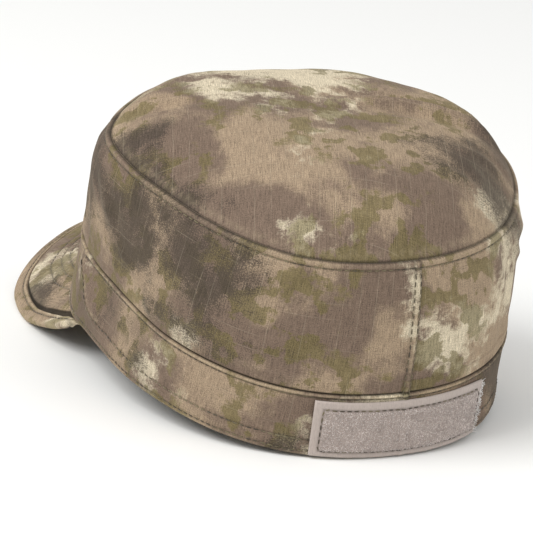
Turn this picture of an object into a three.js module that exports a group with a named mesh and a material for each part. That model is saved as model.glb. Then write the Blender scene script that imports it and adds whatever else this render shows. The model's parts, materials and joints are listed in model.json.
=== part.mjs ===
import * as THREE from "three";

// A soft patrol cap in millimetres, +Z up, the peak towards -Y and the wearer's left towards +X.
// The cap is shaped in its own frame, with the level foot of the band's back on the plane z = 0.
// A group then tips it back to how it rests by itself, on the peak's sides and the band's back.
// A bearing is in degrees around the head: 0 at the back, 90 at the wearer's left, 180 in front.

// Foot of the band, which is the opening for the head. It is level round the sides and back, dips
// beside the peak and arches over the peak's middle.
const rimLength = 208.5;
const rimWidth = 164.3;
const rimSetBack = 1.4;
const rimSquareness = 2.14;
const footArch = 9.4;

// Seam between the band and the crown's side.
const bandHeight = 29.6;
const bandRiseToFront = 8.9;
const bandSeamLength = 194.7;
const bandSeamWidth = 162.8;
const bandSeamSetBack = 5.3;
const bandSeamSquareness = 2.13;

// Seam between the crown's side and its top.
const sideHeight = 51.7;
const topLength = 166.6;
const topWidth = 168.2;
const topSetBack = 11.5;
const topSquareness = 2.04;

// Crown: how far the top swells above its seam, how early it does so, and how the side bellies.
const domeRise = 22.5;
const domeFullness = 3.8;
const sideBelly = 2.2;

// Cloth.
const bandCloth = 2;
const sideCloth = 1.6;
const topCloth = 1.5;
const sewnGap = 0.3;

// Seams: the groove round the top panel, and the flat felled seam down the back.
const grooveDepth = 0.3;
const felledWidth = 5.2;
const felledHeight = 0.7;

// Peak: a stiff board under cloth, with its edge wrapped in a strip of the same cloth.
const peakWidth = 158.6;
const peakReach = 58;
const peakDrop = 29.7;
const peakHalfSpread = 69;
const peakCamber = 1;
const peakTuck = 1.9;
const peakThickness = 3;
const peakMarginThickness = 1.2;
const edgeStripWidth = 7.6;
const edgeStripCloth = 0.9;
const edgeRoundness = 0.45;
const peakTab = 1.6;

// Loop panel on the back of the band, for a name tape.
const panelLength = 84;
const panelShift = -4.2;
const panelRise = 0.75;
const panelHeight = 22;
const panelBorder = 3.4;
const panelTape = 0.9;
const panelPile = 1.9;
const panelBevel = 0.25;

// How finely each piece is faceted.
const stationsAround = 76;
const stationsAcrossPeak = 36;

// How each seam line departs from a plain oval: shares of the oval's radius, the height of the
// band's foot as a share of its arch, and of the top seam as a share of the height of the side.
const aroundTable = [
  { bearing: 0, rim: 1.0, bandSeam: 1.0, topSeam: 1.0, foot: 0, lift: -0.093 },
  { bearing: 30, rim: 1.04, bandSeam: 1.046, topSeam: 1.022, foot: 0, lift: -0.112 },
  { bearing: 60, rim: 1.014, bandSeam: 1.021, topSeam: 0.962, foot: 0, lift: -0.06 },
  { bearing: 75, rim: 1.005, bandSeam: 0.994, topSeam: 0.96, foot: 0, lift: -0.018 },
  { bearing: 90, rim: 0.996, bandSeam: 0.988, topSeam: 1.004, foot: 0.02, lift: 0.035 },
  { bearing: 105, rim: 0.99, bandSeam: 1.01, topSeam: 1.034, foot: -0.15, lift: 0.078 },
  { bearing: 120, rim: 0.998, bandSeam: 1.028, topSeam: 1.012, foot: -0.57, lift: 0.09 },
  { bearing: 135, rim: 1.012, bandSeam: 1.018, topSeam: 1.005, foot: -0.49, lift: 0.086 },
  { bearing: 150, rim: 1.018, bandSeam: 1.005, topSeam: 1.03, foot: 0.03, lift: 0.08 },
  { bearing: 165, rim: 1.01, bandSeam: 1.01, topSeam: 1.066, foot: 0.69, lift: 0.074 },
  { bearing: 180, rim: 1.0, bandSeam: 1.014, topSeam: 1.084, foot: 1, lift: 0.07 },
  { bearing: 195, rim: 0.998, bandSeam: 1.01, topSeam: 1.07, foot: 0.69, lift: 0.068 },
  { bearing: 210, rim: 1.004, bandSeam: 1.006, topSeam: 1.04, foot: 0.03, lift: 0.065 },
  { bearing: 225, rim: 1.006, bandSeam: 1.012, topSeam: 1.03, foot: -0.49, lift: 0.064 },
  { bearing: 240, rim: 1.005, bandSeam: 1.022, topSeam: 1.026, foot: -0.57, lift: 0.06 },
  { bearing: 255, rim: 1.005, bandSeam: 1.022, topSeam: 1.01, foot: -0.15, lift: 0.05 },
  { bearing: 270, rim: 1.006, bandSeam: 1.01, topSeam: 0.972, foot: 0.02, lift: 0.035 },
  { bearing: 300, rim: 0.983, bandSeam: 0.988, topSeam: 0.921, foot: 0, lift: -0.02 },
  { bearing: 330, rim: 0.97, bandSeam: 0.972, topSeam: 0.948, foot: 0, lift: -0.064 },
];

// Section through the band: rise as a share of its height, push as a share of its cloth.
const bandSection = [
  { rise: 0, push: -0.2 },
  { rise: 0.07, push: 0.12 },
  { rise: 0.34, push: 0.02 },
  { rise: 0.62, push: 0.2 },
  { rise: 0.93, push: 0.1 },
  { rise: 1, push: -0.25 },
];

// Section through the crown's side, in the same shares, up to the ridge of its seam at the top.
const sideSection = [
  { rise: 0, push: 0.1 },
  { rise: 0.04, push: 0.5 },
  { rise: 0.16, push: 0.25 },
  { rise: 0.38, push: 0 },
  { rise: 0.62, push: 0 },
  { rise: 0.84, push: 0 },
  { rise: 0.935, push: -0.12 },
  { rise: 0.965, push: 0.25 },
  { rise: 1, push: -0.35 },
];

// Rings of the top panel, as shares of the way from its edge to its middle.
const topRings = [0, 0.035, 0.1, 0.19, 0.31, 0.46, 0.63, 0.82];

// Soft folds and hollows of the crown. Height and reach are shares up the crown's side, or inwards
// over the top. Spread is in degrees, and push is a share of the height of the crown's side.
const sideFolds = [
  { bearing: 114, spread: 14, height: 0.78, reach: 0.2, push: 0.045 },
  { bearing: 84, spread: 6, height: 0.5, reach: 0.3, push: -0.02 },
  { bearing: 62, spread: 9, height: 0.12, reach: 0.16, push: 0.02 },
  { bearing: 28, spread: 16, height: 0.6, reach: 0.3, push: -0.016 },
  { bearing: 342, spread: 8, height: 0.7, reach: 0.2, push: 0.016 },
  { bearing: 322, spread: 7, height: 0.35, reach: 0.3, push: -0.022 },
  { bearing: 304, spread: 11, height: 0.84, reach: 0.14, push: 0.035 },
  { bearing: 205, spread: 14, height: 0.5, reach: 0.3, push: -0.02 },
];
const topFolds = [
  { bearing: 146, spread: 16, height: 0.14, reach: 0.08, push: 0.045 },
  { bearing: 255, spread: 20, height: 0.14, reach: 0.08, push: 0.06 },
  { bearing: 305, spread: 20, height: 0.2, reach: 0.1, push: 0.02 },
  { bearing: 55, spread: 18, height: 0.3, reach: 0.14, push: -0.03 },
  { bearing: 350, spread: 24, height: 0.34, reach: 0.14, push: 0.02 },
  { bearing: 178, spread: 24, height: 0.3, reach: 0.16, push: -0.02 },
];

// Where the tuck of the peak's inner edge thins down to the edge strip, from its middle to a corner.
const cornerThinning = { from: 0.8, to: 0.95 };

// Places of the peak's rows between its shoulder and its inner edge, as shares of that way.
const peakRows = [0, 0.35, 0.7, 1];

// Outer edge of half the peak, from its middle to its corner. Side, ahead and drop are shares of
// half its width, of its length from corner to tip, and of its deepest drop below the band's foot.
const peakEdge = [
  { along: 0, side: 0, ahead: 1, drop: 0.775 },
  { along: 0.1, side: 0.296, ahead: 0.966, drop: 0.812 },
  { along: 0.2, side: 0.555, ahead: 0.883, drop: 0.93 },
  { along: 0.3, side: 0.738, ahead: 0.784, drop: 1 },
  { along: 0.4, side: 0.851, ahead: 0.682, drop: 0.99 },
  { along: 0.5, side: 0.923, ahead: 0.561, drop: 0.86 },
  { along: 0.62, side: 0.973, ahead: 0.417, drop: 0.685 },
  { along: 0.72, side: 0.997, ahead: 0.306, drop: 0.485 },
  { along: 0.82, side: 1.005, ahead: 0.197, drop: 0.29 },
  { along: 0.9, side: 1.004, ahead: 0.114, drop: 0.15 },
  { along: 0.95, side: 1.004, ahead: 0.057, drop: 0.07 },
  { along: 1, side: 1.014, ahead: 0, drop: 0.03 },
];

// Surface colours, as painted cloth.
const colours = { cloth: 0x8d8270, clothLight: 0x968b78, clothDark: 0x80765f, loop: 0x9c9193 };

const turn = 360;
const half = 180;
const radians = THREE.MathUtils.degToRad;
const degrees = THREE.MathUtils.radToDeg;
const up = new THREE.Vector3(0, 0, 1);

// A smooth curve through the rows of a table, on one of its columns.
function hermite(before, from, to, after, key, column, at) {
  const span = to[key] - from[key];
  const share = (at - from[key]) / span;
  const slopeFrom = ((to[column] - before[column]) / (to[key] - before[key])) * span;
  const slopeTo = ((after[column] - from[column]) / (after[key] - from[key])) * span;
  const square = share * share;
  const cube = square * share;
  return (
    (2 * cube - 3 * square + 1) * from[column] +
    (cube - 2 * square + share) * slopeFrom +
    (3 * square - 2 * cube) * to[column] +
    (cube - square) * slopeTo
  );
}

// The same on a table that runs once round the head.
function around(column, bearing) {
  const rows = aroundTable;
  const at = ((bearing % turn) + turn) % turn;
  const count = rows.length;
  const index = rows.findLastIndex((row) => row.bearing <= at);
  const row = (step) => {
    const place = index + step;
    const laps = Math.floor(place / count);
    const found = rows[place - laps * count];
    return { ...found, bearing: found.bearing + laps * turn };
  };
  return hermite(row(-1), row(0), row(1), row(2), "bearing", column, at);
}

// The same on the peak's edge, mirrored at its middle.
function onPeakEdge(column, along) {
  const sign = column === "side" ? -1 : 1;
  const beside = peakEdge[1];
  const mirrored = { along: -beside.along, [column]: sign * beside[column] };
  const rows = [mirrored, ...peakEdge];
  const last = rows.length - 1;
  const at = Math.min(Math.abs(along), 1);
  const index = Math.min(rows.findLastIndex((row) => row.along <= at), last - 1);
  const [before, from, to] = rows.slice(index - 1, index + 2);
  const after = rows[Math.min(index + 2, last)];
  return hermite(before, from, to, after, "along", column, at);
}

const lines = {
  rim: { length: rimLength, width: rimWidth, setBack: rimSetBack, squareness: rimSquareness },
  bandSeam: {
    length: bandSeamLength,
    width: bandSeamWidth,
    setBack: bandSeamSetBack,
    squareness: bandSeamSquareness,
  },
  topSeam: { length: topLength, width: topWidth, setBack: topSetBack, squareness: topSquareness },
};

// Height of each seam line above the foot of the band.
function lineHeight(name, bearing, y) {
  if (name === "rim") {
    return footArch * around("foot", bearing);
  }
  const bandSeam = bandHeight - (bandRiseToFront * (y - bandSeamSetBack)) / bandSeamLength;
  if (name === "bandSeam") {
    return bandSeam;
  }
  return bandHeight + sideHeight * (1 + around("lift", bearing));
}

// A point of a seam line.
function linePoint(name, bearing) {
  const line = lines[name];
  const angle = radians(bearing);
  const across = Math.abs(Math.sin(angle) / (line.width / 2)) ** line.squareness;
  const along = Math.abs(Math.cos(angle) / (line.length / 2)) ** line.squareness;
  const radius = around(name, bearing) / (across + along) ** (1 / line.squareness);
  const x = radius * Math.sin(angle);
  const y = line.setBack + radius * Math.cos(angle);
  return new THREE.Vector3(x, y, lineHeight(name, bearing, y));
}

// The level direction that points out of a seam line.
function outward(name, bearing) {
  const step = 0.5;
  const run = linePoint(name, bearing + step).sub(linePoint(name, bearing - step));
  return new THREE.Vector3(-run.y, run.x, 0).normalize();
}

// A swell that is 1 at its middle and fades over its spread.
function bell(distance, spread) {
  return Math.exp(-0.5 * (distance / spread) ** 2);
}

function foldPush(folds, bearing, height) {
  return folds.reduce((sum, fold) => {
    const turnAway = ((bearing - fold.bearing + half + turn) % turn) - half;
    const level = bell(height - fold.height, fold.reach);
    return sum + sideHeight * fold.push * bell(turnAway, fold.spread) * level;
  }, 0);
}

// The felled seam stands proud of the cloth on both sides of the middle of the back, and falls off
// over a narrow lip.
const felledEdge = degrees(felledWidth / rimLength);
const felledLip = degrees((4 * sewnGap) / rimLength);

function awayFromBack(bearing) {
  return Math.abs(((bearing + half + turn) % turn) - half);
}

function felledPush(bearing) {
  return awayFromBack(bearing) < felledEdge + felledLip / 2 ? felledHeight : 0;
}

function bandPush(rise) {
  const below = bandSection.findLastIndex((row) => row.rise <= rise);
  const index = Math.min(below, bandSection.length - 2);
  const from = bandSection[index];
  const to = bandSection[index + 1];
  return bandCloth * THREE.MathUtils.mapLinear(rise, from.rise, to.rise, from.push, to.push);
}

// A point of the band, pushed out from its outer face.
function bandPoint(bearing, rise, push) {
  const foot = linePoint("rim", bearing);
  const head = linePoint("bandSeam", bearing);
  head.z -= sewnGap / 2;
  const normal = outward("rim", bearing).lerp(outward("bandSeam", bearing), rise).normalize();
  const proud = felledPush(bearing) + bandPush(rise) + push;
  return foot.lerp(head, rise).addScaledVector(normal, proud);
}

// A point of the crown's side, pushed out from its outer face.
function sidePoint(bearing, row, push) {
  const foot = linePoint("bandSeam", bearing);
  foot.z += sewnGap / 2;
  const head = linePoint("topSeam", bearing);
  const toHead = outward("topSeam", bearing);
  const normal = outward("bandSeam", bearing).lerp(toHead, row.rise).normalize();
  const awayFromSeams = 4 * row.rise * (1 - row.rise);
  const fold = foldPush(sideFolds, bearing, row.rise) * Math.min(1, 2 * awayFromSeams);
  const felled = row.rise < 1 ? felledPush(bearing) : 0;
  const proud = sideBelly * awayFromSeams + fold + felled + sideCloth * row.push + push;
  return foot.lerp(head, row.rise).addScaledVector(normal, proud);
}

// A solid between two matched grids of points: the outer face and the inner face of a sheet.
// Each grid is a list of stations, each a list of points. A looped sheet joins its last station to
// its first, and a pole closes the last point of every station into one.
function sheetSolid(outer, inner, { looped = false, pole = false } = {}) {
  const stations = outer.length;
  const rows = outer[0].length;
  const points = [];
  const faces = [];
  const place = (grid) =>
    grid.map((station, index) =>
      station.map((point, row) => {
        if (pole && row === rows - 1 && index > 0) {
          return null;
        }
        points.push(point.x, point.y, point.z);
        return points.length / 3 - 1;
      })
    );
  const share = (grid) =>
    grid.map((station) => station.map((number) => (number === null ? grid[0][rows - 1] : number)));
  const outside = share(place(outer));
  const inside = share(place(inner));
  const triangle = (a, b, c) => {
    if (a !== b && b !== c && a !== c) {
      faces.push(a, b, c);
    }
  };
  const quad = (a, b, c, d) => {
    triangle(a, b, c);
    triangle(a, c, d);
  };
  const steps = looped ? stations : stations - 1;
  for (let index = 0; index < steps; index += 1) {
    const next = (index + 1) % stations;
    for (let row = 0; row < rows - 1; row += 1) {
      quad(outside[index][row], outside[index][row + 1], outside[next][row + 1], outside[next][row]);
      quad(inside[index][row], inside[next][row], inside[next][row + 1], inside[index][row + 1]);
    }
    quad(inside[index][0], outside[index][0], outside[next][0], inside[next][0]);
    if (!pole) {
      const end = rows - 1;
      quad(outside[index][end], inside[index][end], inside[next][end], outside[next][end]);
    }
  }
  if (!looped) {
    const last = stations - 1;
    for (let row = 0; row < rows - 1; row += 1) {
      quad(outside[0][row], inside[0][row], inside[0][row + 1], outside[0][row + 1]);
      quad(inside[last][row], outside[last][row], outside[last][row + 1], inside[last][row + 1]);
    }
  }
  const geometry = new THREE.BufferGeometry();
  geometry.setAttribute("position", new THREE.Float32BufferAttribute(points, 3));
  geometry.setIndex(faces);
  geometry.computeVertexNormals();
  return geometry;
}

function cloth(colour, roughness) {
  return new THREE.MeshStandardMaterial({ color: colour, roughness, metalness: 0, flatShading: true });
}

function piece(name, geometry, material) {
  const mesh = new THREE.Mesh(geometry, material);
  mesh.name = name;
  return mesh;
}

// Bearings of the stations round the head, with a pair at each edge of the felled seam.
function bearingsAround() {
  const even = Array.from({ length: stationsAround }, (_, index) => (index * turn) / stationsAround);
  const plain = even.filter((bearing) => awayFromBack(bearing) > felledEdge + 2 * felledLip);
  const seam = [-felledEdge - felledLip, -felledEdge, felledEdge, felledEdge + felledLip];
  return [...seam, ...plain];
}

const bearings = bearingsAround();

function makeBand() {
  const outer = bearings.map((bearing) => bandSection.map((row) => bandPoint(bearing, row.rise, 0)));
  const inner = bearings.map((bearing) =>
    bandSection.map((row) => {
      const proud = bandPush(row.rise) + felledPush(bearing);
      return bandPoint(bearing, row.rise, -bandCloth - proud);
    })
  );
  return piece("band", sheetSolid(outer, inner, { looped: true }), cloth(colours.clothDark, 0.92));
}

function makeCrownSide() {
  const outer = bearings.map((bearing) => sideSection.map((row) => sidePoint(bearing, row, 0)));
  const inner = bearings.map((bearing) =>
    sideSection.map((row) => {
      const proud = row.rise < 1 ? row.push * sideCloth + felledPush(bearing) : 0;
      return sidePoint(bearing, row, -sideCloth - proud);
    })
  );
  return piece("crown_side", sheetSolid(outer, inner, { looped: true }), cloth(colours.cloth, 0.92));
}

// The edge of the top panel, sewn in just inside the ridge of the side.
function topEdge(bearing) {
  const ridge = sideSection.at(-1);
  const inset = sideCloth * (1 - ridge.push) + sewnGap;
  const point = linePoint("topSeam", bearing);
  point.addScaledVector(outward("topSeam", bearing), -inset);
  point.z -= grooveDepth;
  return point;
}

function makeCrownTop() {
  const middle = new THREE.Vector3(0, topSetBack, bandHeight + sideHeight);
  const ringPoint = (bearing, share) => {
    const edge = topEdge(bearing);
    const swell = domeRise * (1 - (1 - share) ** domeFullness);
    const level = THREE.MathUtils.lerp(edge.z, middle.z, 1 - (1 - share) ** 2);
    const point = edge.lerp(middle, share);
    const fade = 1 - (1 - Math.min(1, share / topRings[2])) ** 2;
    point.z = level + swell + fade * (1 - share ** 4) * foldPush(topFolds, bearing, share);
    return point;
  };
  const shares = [...topRings, 1];
  const outer = bearings.map((bearing) => shares.map((share) => ringPoint(bearing, share)));
  const below = (point) => point.clone().addScaledVector(up, -topCloth);
  const inner = outer.map((station) => station.map(below));
  const solid = sheetSolid(outer, inner, { looped: true, pole: true });
  return piece("crown_top", solid, cloth(colours.clothLight, 0.92));
}

// The middle surface of the peak: along runs from -1 to 1 across it, and share from its outer edge
// to the foot of the band, which it is tucked under.
const cornerY = linePoint("rim", half - peakHalfSpread).y;
const tipY = linePoint("rim", half).y - peakReach;
const stripTop = peakMarginThickness / 2 + sewnGap + edgeStripCloth;

function peakInner(along) {
  const bearing = half + along * peakHalfSpread;
  const point = linePoint("rim", bearing).addScaledVector(outward("rim", bearing), -peakTuck);
  const { from, to } = cornerThinning;
  const nearCorner = THREE.MathUtils.smoothstep(Math.abs(along), from, to);
  point.z -= sewnGap + THREE.MathUtils.lerp(peakThickness / 2, stripTop, nearCorner);
  return point;
}

function peakOuter(along) {
  const foot = linePoint("rim", half + along * peakHalfSpread).z;
  const x = -Math.sign(along) * onPeakEdge("side", along) * (peakWidth / 2);
  const y = THREE.MathUtils.lerp(cornerY, tipY, onPeakEdge("ahead", along));
  return new THREE.Vector3(x, y, foot - sewnGap - stripTop - peakDrop * onPeakEdge("drop", along));
}

function peakMiddle(along, share) {
  const from = peakOuter(along);
  const to = peakInner(along);
  const length = from.distanceTo(to);
  const camber = peakCamber * Math.min(1, length / peakReach) * 4 * share * (1 - share);
  const point = from.lerp(to, share);
  point.z += camber;
  return point;
}

function peakNormal(along, share) {
  const step = 0.01;
  const acrossFrom = Math.max(-1, along - step);
  const acrossTo = Math.min(1, along + step);
  const shareFrom = Math.max(0, share - step);
  const shareTo = Math.min(1, share + step);
  const across = peakMiddle(acrossTo, share).sub(peakMiddle(acrossFrom, share));
  const inwards = peakMiddle(along, shareTo).sub(peakMiddle(along, shareFrom));
  const normal = inwards.cross(across).normalize();
  return normal.z < 0 ? normal.negate() : normal;
}

function peakPoint(along, share, height) {
  return peakMiddle(along, share).addScaledVector(peakNormal(along, share), height);
}

// Stations across the peak lie closer together towards its corners.
function peakStations() {
  return Array.from({ length: stationsAcrossPeak + 1 }, (_, index) => {
    const even = (2 * index) / stationsAcrossPeak - 1;
    return Math.sin((Math.PI / 2) * even);
  });
}

// Places across the peak, in millimetres from its outer edge. Beside the corners, where the peak
// narrows to a tab, the edge strip narrows with it.
function peakPlaces(along) {
  const length = peakOuter(along).distanceTo(peakInner(along));
  const stripEnd = Math.min(edgeStripWidth, length - peakTab);
  return { length, stripEnd, margin: edgeStripCloth + sewnGap, shoulder: stripEnd + sewnGap };
}

function makePeak() {
  const margin = peakMarginThickness / 2;
  const body = peakThickness / 2;
  const halves = [margin, margin, ...peakRows.map(() => body)];
  const build = (sign) =>
    peakStations().map((along) => {
      const places = peakPlaces(along);
      const rowsFrom = places.shoulder + sewnGap;
      const rows = peakRows.map((share) => THREE.MathUtils.lerp(rowsFrom, places.length, share));
      const distances = [places.margin, places.shoulder, ...rows];
      return distances.map((distance, row) =>
        peakPoint(along, distance / places.length, sign * halves[row])
      );
    });
  return piece("peak", sheetSolid(build(1), build(-1)), cloth(colours.clothLight, 0.9));
}

function makeEdgeStrip() {
  const gap = peakMarginThickness / 2 + sewnGap;
  const bend = edgeRoundness;
  const build = (section) =>
    peakStations().map((along) => {
      const places = peakPlaces(along);
      return section(places).map(([distance, height]) =>
        peakPoint(along, distance / places.length, height)
      );
    });
  const outer = build((places) => [
    [places.stripEnd, -stripTop],
    [edgeStripCloth, -stripTop],
    [0, -bend * stripTop],
    [0, bend * stripTop],
    [edgeStripCloth, stripTop],
    [places.stripEnd, stripTop],
  ]);
  const inner = build((places) => [
    [places.stripEnd, -gap],
    [places.margin, -gap],
    [edgeStripCloth, -bend * gap],
    [edgeStripCloth, bend * gap],
    [places.margin, gap],
    [places.stripEnd, gap],
  ]);
  return piece("peak_edge_strip", sheetSolid(outer, inner), cloth(colours.cloth, 0.92));
}

function makeNamePanel() {
  const bandSide = linePoint("bandSeam", 0).z;
  const low = panelRise / bandSide;
  const high = (panelRise + panelHeight) / bandSide;
  const pileLow = (panelRise + panelBorder) / bandSide;
  const pileHigh = (panelRise + panelHeight - panelBorder) / bandSide;
  const bevelRise = panelBevel / bandSide;
  const follows = bandSection.map((row) => row.rise).filter((rise) => rise > low && rise < high);
  const rises = [low, pileLow - bevelRise, pileLow, pileHigh, pileHigh + bevelRise, high, ...follows];
  rises.sort((a, b) => a - b);

  const middle = degrees((2 * panelShift) / rimLength);
  const reach = degrees(panelLength / rimLength);
  const pileReach = degrees((panelLength - 2 * panelBorder) / rimLength);
  const bevelTurn = degrees((2 * panelBevel) / rimLength);
  const signed = bearings.map((bearing) => (bearing > half ? bearing - turn : bearing));
  const within = signed.filter((bearing) => Math.abs(bearing - middle) < pileReach - bevelTurn);
  const ends = [reach, pileReach + bevelTurn, pileReach];
  const columns = [...ends.map((end) => middle - end), ...within, ...ends.map((end) => middle + end)];
  columns.sort((a, b) => a - b);

  const inPile = (bearing, rise) => {
    const between = rise > pileLow - bevelRise / 2 && rise < pileHigh + bevelRise / 2;
    return between && Math.abs(bearing - middle) < pileReach + bevelTurn / 2;
  };
  const face = (bearing, rise) => sewnGap + (inPile(bearing, rise) ? panelPile : panelTape);
  const outer = columns.map((bearing) =>
    rises.map((rise) => bandPoint(bearing, rise, face(bearing, rise)))
  );
  const inner = columns.map((bearing) => rises.map((rise) => bandPoint(bearing, rise, sewnGap)));
  return piece("name_panel", sheetSolid(outer, inner), cloth(colours.loop, 0.98));
}

// How far the peak tips the cap back on a table: its lowest point in front and its lowest point
// behind come to the same level. The tilt is narrowed down by halves.
const widestTilt = 30;
const halvings = 40;

function restingTilt(meshes) {
  const corners = meshes.flatMap((mesh) => {
    const position = mesh.geometry.getAttribute("position");
    const corner = (_, index) => ({ y: position.getY(index), z: position.getZ(index) });
    return Array.from({ length: position.count }, corner);
  });
  const lowest = (tilt, side) => {
    const levels = corners
      .filter((corner) => corner.y * side > 0)
      .map((corner) => corner.y * Math.sin(tilt) + corner.z * Math.cos(tilt));
    return levels.reduce((least, level) => Math.min(least, level), Infinity);
  };
  let low = -radians(widestTilt);
  let high = radians(widestTilt);
  for (let step = 0; step < halvings; step += 1) {
    const middle = (low + high) / 2;
    if (lowest(middle, -1) > lowest(middle, 1)) {
      low = middle;
    } else {
      high = middle;
    }
  }
  return (low + high) / 2;
}

const pieces = [
  makeCrownTop(),
  makeCrownSide(),
  makeBand(),
  makePeak(),
  makeEdgeStrip(),
  makeNamePanel(),
];

const tipped = new THREE.Group();
tipped.add(...pieces);
tipped.rotation.x = restingTilt(pieces);

// The origin is under the middle of the whole cap, on the table.
const cap = new THREE.Group();
cap.add(tipped);
cap.updateMatrixWorld(true);
const box = new THREE.Box3().setFromObject(cap, true);
const centre = box.getCenter(new THREE.Vector3());
tipped.position.set(-centre.x, -centre.y, -box.min.z);
cap.updateMatrixWorld(true);

export default cap;
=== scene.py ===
"""A soft patrol cap: its cloth, sewing and finishes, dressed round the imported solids.

Shapes are worked out in millimetres in the cap's own frame, with the level foot of the band's back
on z = 0, and are then tipped and moved to how the solids rest. A bearing is in degrees round the
head: 0 at the back, 90 at the wearer's left and 180 in front.
"""

import json
import logging
import math
from collections.abc import Callable
from dataclasses import dataclass, field
from enum import Enum

import bpy
import numpy as np
from mathutils import Matrix, Vector


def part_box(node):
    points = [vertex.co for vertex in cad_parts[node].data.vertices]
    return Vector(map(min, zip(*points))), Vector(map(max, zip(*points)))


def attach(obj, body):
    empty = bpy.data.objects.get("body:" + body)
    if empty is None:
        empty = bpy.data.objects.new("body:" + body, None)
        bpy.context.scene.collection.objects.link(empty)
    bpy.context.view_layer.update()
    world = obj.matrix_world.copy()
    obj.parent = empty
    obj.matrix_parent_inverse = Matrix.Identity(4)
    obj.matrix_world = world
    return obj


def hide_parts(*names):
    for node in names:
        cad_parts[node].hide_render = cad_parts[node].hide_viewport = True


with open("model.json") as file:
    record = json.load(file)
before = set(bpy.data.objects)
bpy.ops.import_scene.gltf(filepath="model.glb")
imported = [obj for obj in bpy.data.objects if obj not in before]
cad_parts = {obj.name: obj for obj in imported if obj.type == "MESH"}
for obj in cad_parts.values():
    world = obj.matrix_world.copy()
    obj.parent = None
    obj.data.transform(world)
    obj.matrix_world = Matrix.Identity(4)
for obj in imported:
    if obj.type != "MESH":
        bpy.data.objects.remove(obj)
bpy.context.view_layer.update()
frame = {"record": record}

LOG = logging.getLogger("patrol_cap")
TURN = 360.0
HALF = 180.0
MM = 0.001

Socket = bpy.types.NodeSocket
Colour = tuple[float, float, float, float]
Place = tuple[float, float, float]
Span = tuple[float, float]
Surface = Callable[[np.ndarray, np.ndarray], np.ndarray]


class Seam(Enum):
    """The three lines that run round the cap."""

    RIM = "rim"
    BAND = "band"
    TOP = "top"


class SmoothTable:
    """Named columns over a first column, read by a smooth curve through the rows."""

    def __init__(
        self,
        names: tuple[str, ...],
        rows: tuple[tuple[float, ...], ...],
        period: float = 0.0,
        mirrored: tuple[str, ...] = (),
    ) -> None:
        """Keeps the rows as arrays.

        Args:
            names: the columns' names, the first being the one that is looked up.
            rows: the table's rows.
            period: the length after which the table repeats, or 0.
            mirrored: the columns that change sign across the first row, where the table is mirrored.
        """
        table = np.array(rows, float)
        if period:
            before = table[-1] - np.eye(len(names))[0] * period
            after = table[:2] + np.eye(len(names))[0] * period
            table = np.vstack([before, table, after])
        else:
            signs = np.array([-1.0 if name in (names[0], *mirrored) else 1.0 for name in names])
            table = np.vstack([table[1] * signs, table])
        self.period = period
        self.columns = {name: table[:, index] for index, name in enumerate(names)}
        self.keys = table[:, 0]

    def at(self, column: str, where: np.ndarray) -> np.ndarray:
        """Reads a column.

        Args:
            column: its name.
            where: places along the first column.

        Returns:
            The column's values there.
        """
        places = np.asarray(where, float)
        places = np.mod(places, self.period) if self.period else np.minimum(np.abs(places), 1.0)
        last = len(self.keys) - 1
        index = np.searchsorted(self.keys, places, side="right") - 1
        index = np.clip(index, 1, last - 1)
        ahead = np.minimum(index + 2, last)
        keys, values = self.keys, self.columns[column]
        span = keys[index + 1] - keys[index]
        share = (places - keys[index]) / span
        slope_from = (values[index + 1] - values[index - 1]) / (keys[index + 1] - keys[index - 1]) * span
        slope_to = (values[ahead] - values[index]) / (keys[ahead] - keys[index]) * span
        square, cube = share**2, share**3
        return (
            (2 * cube - 3 * square + 1) * values[index]
            + (cube - 2 * square + share) * slope_from
            + (3 * square - 2 * cube) * values[index + 1]
            + (cube - square) * slope_to
        )


# How each seam line departs from a plain oval: shares of the oval's radius, the height of the
# band's foot as a share of its arch, and of the top seam as a share of the height of the side.
AROUND = SmoothTable(
    ("bearing", "rim", "band", "top", "foot", "lift"),
    (
        (0, 1.0, 1.0, 1.0, 0, -0.093),
        (30, 1.04, 1.046, 1.022, 0, -0.112),
        (60, 1.014, 1.021, 0.962, 0, -0.06),
        (75, 1.005, 0.994, 0.96, 0, -0.018),
        (90, 0.996, 0.988, 1.004, 0.02, 0.035),
        (105, 0.99, 1.01, 1.034, -0.15, 0.078),
        (120, 0.998, 1.028, 1.012, -0.57, 0.09),
        (135, 1.012, 1.018, 1.005, -0.49, 0.086),
        (150, 1.018, 1.005, 1.03, 0.03, 0.08),
        (165, 1.01, 1.01, 1.066, 0.69, 0.074),
        (180, 1.0, 1.014, 1.084, 1, 0.07),
        (195, 0.998, 1.01, 1.07, 0.69, 0.068),
        (210, 1.004, 1.006, 1.04, 0.03, 0.065),
        (225, 1.006, 1.012, 1.03, -0.49, 0.064),
        (240, 1.005, 1.022, 1.026, -0.57, 0.06),
        (255, 1.005, 1.022, 1.01, -0.15, 0.05),
        (270, 1.006, 1.01, 0.972, 0.02, 0.035),
        (300, 0.983, 0.988, 0.921, 0, -0.02),
        (330, 0.97, 0.972, 0.948, 0, -0.064),
    ),
    period=TURN,
)

# Outer edge of half the peak, from its middle to its corner, in shares of half its width, of its
# length from corner to tip and of its deepest drop.
PEAK_EDGE = SmoothTable(
    ("along", "side", "ahead", "drop"),
    (
        (0, 0, 1, 0.775),
        (0.1, 0.296, 0.966, 0.812),
        (0.2, 0.555, 0.883, 0.93),
        (0.3, 0.738, 0.784, 1),
        (0.4, 0.851, 0.682, 0.99),
        (0.5, 0.923, 0.561, 0.86),
        (0.62, 0.973, 0.417, 0.685),
        (0.72, 0.997, 0.306, 0.485),
        (0.82, 1.005, 0.197, 0.29),
        (0.9, 1.004, 0.114, 0.15),
        (0.95, 1.004, 0.057, 0.07),
        (1, 1.014, 0, 0.03),
    ),
    mirrored=("side",),
)

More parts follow.
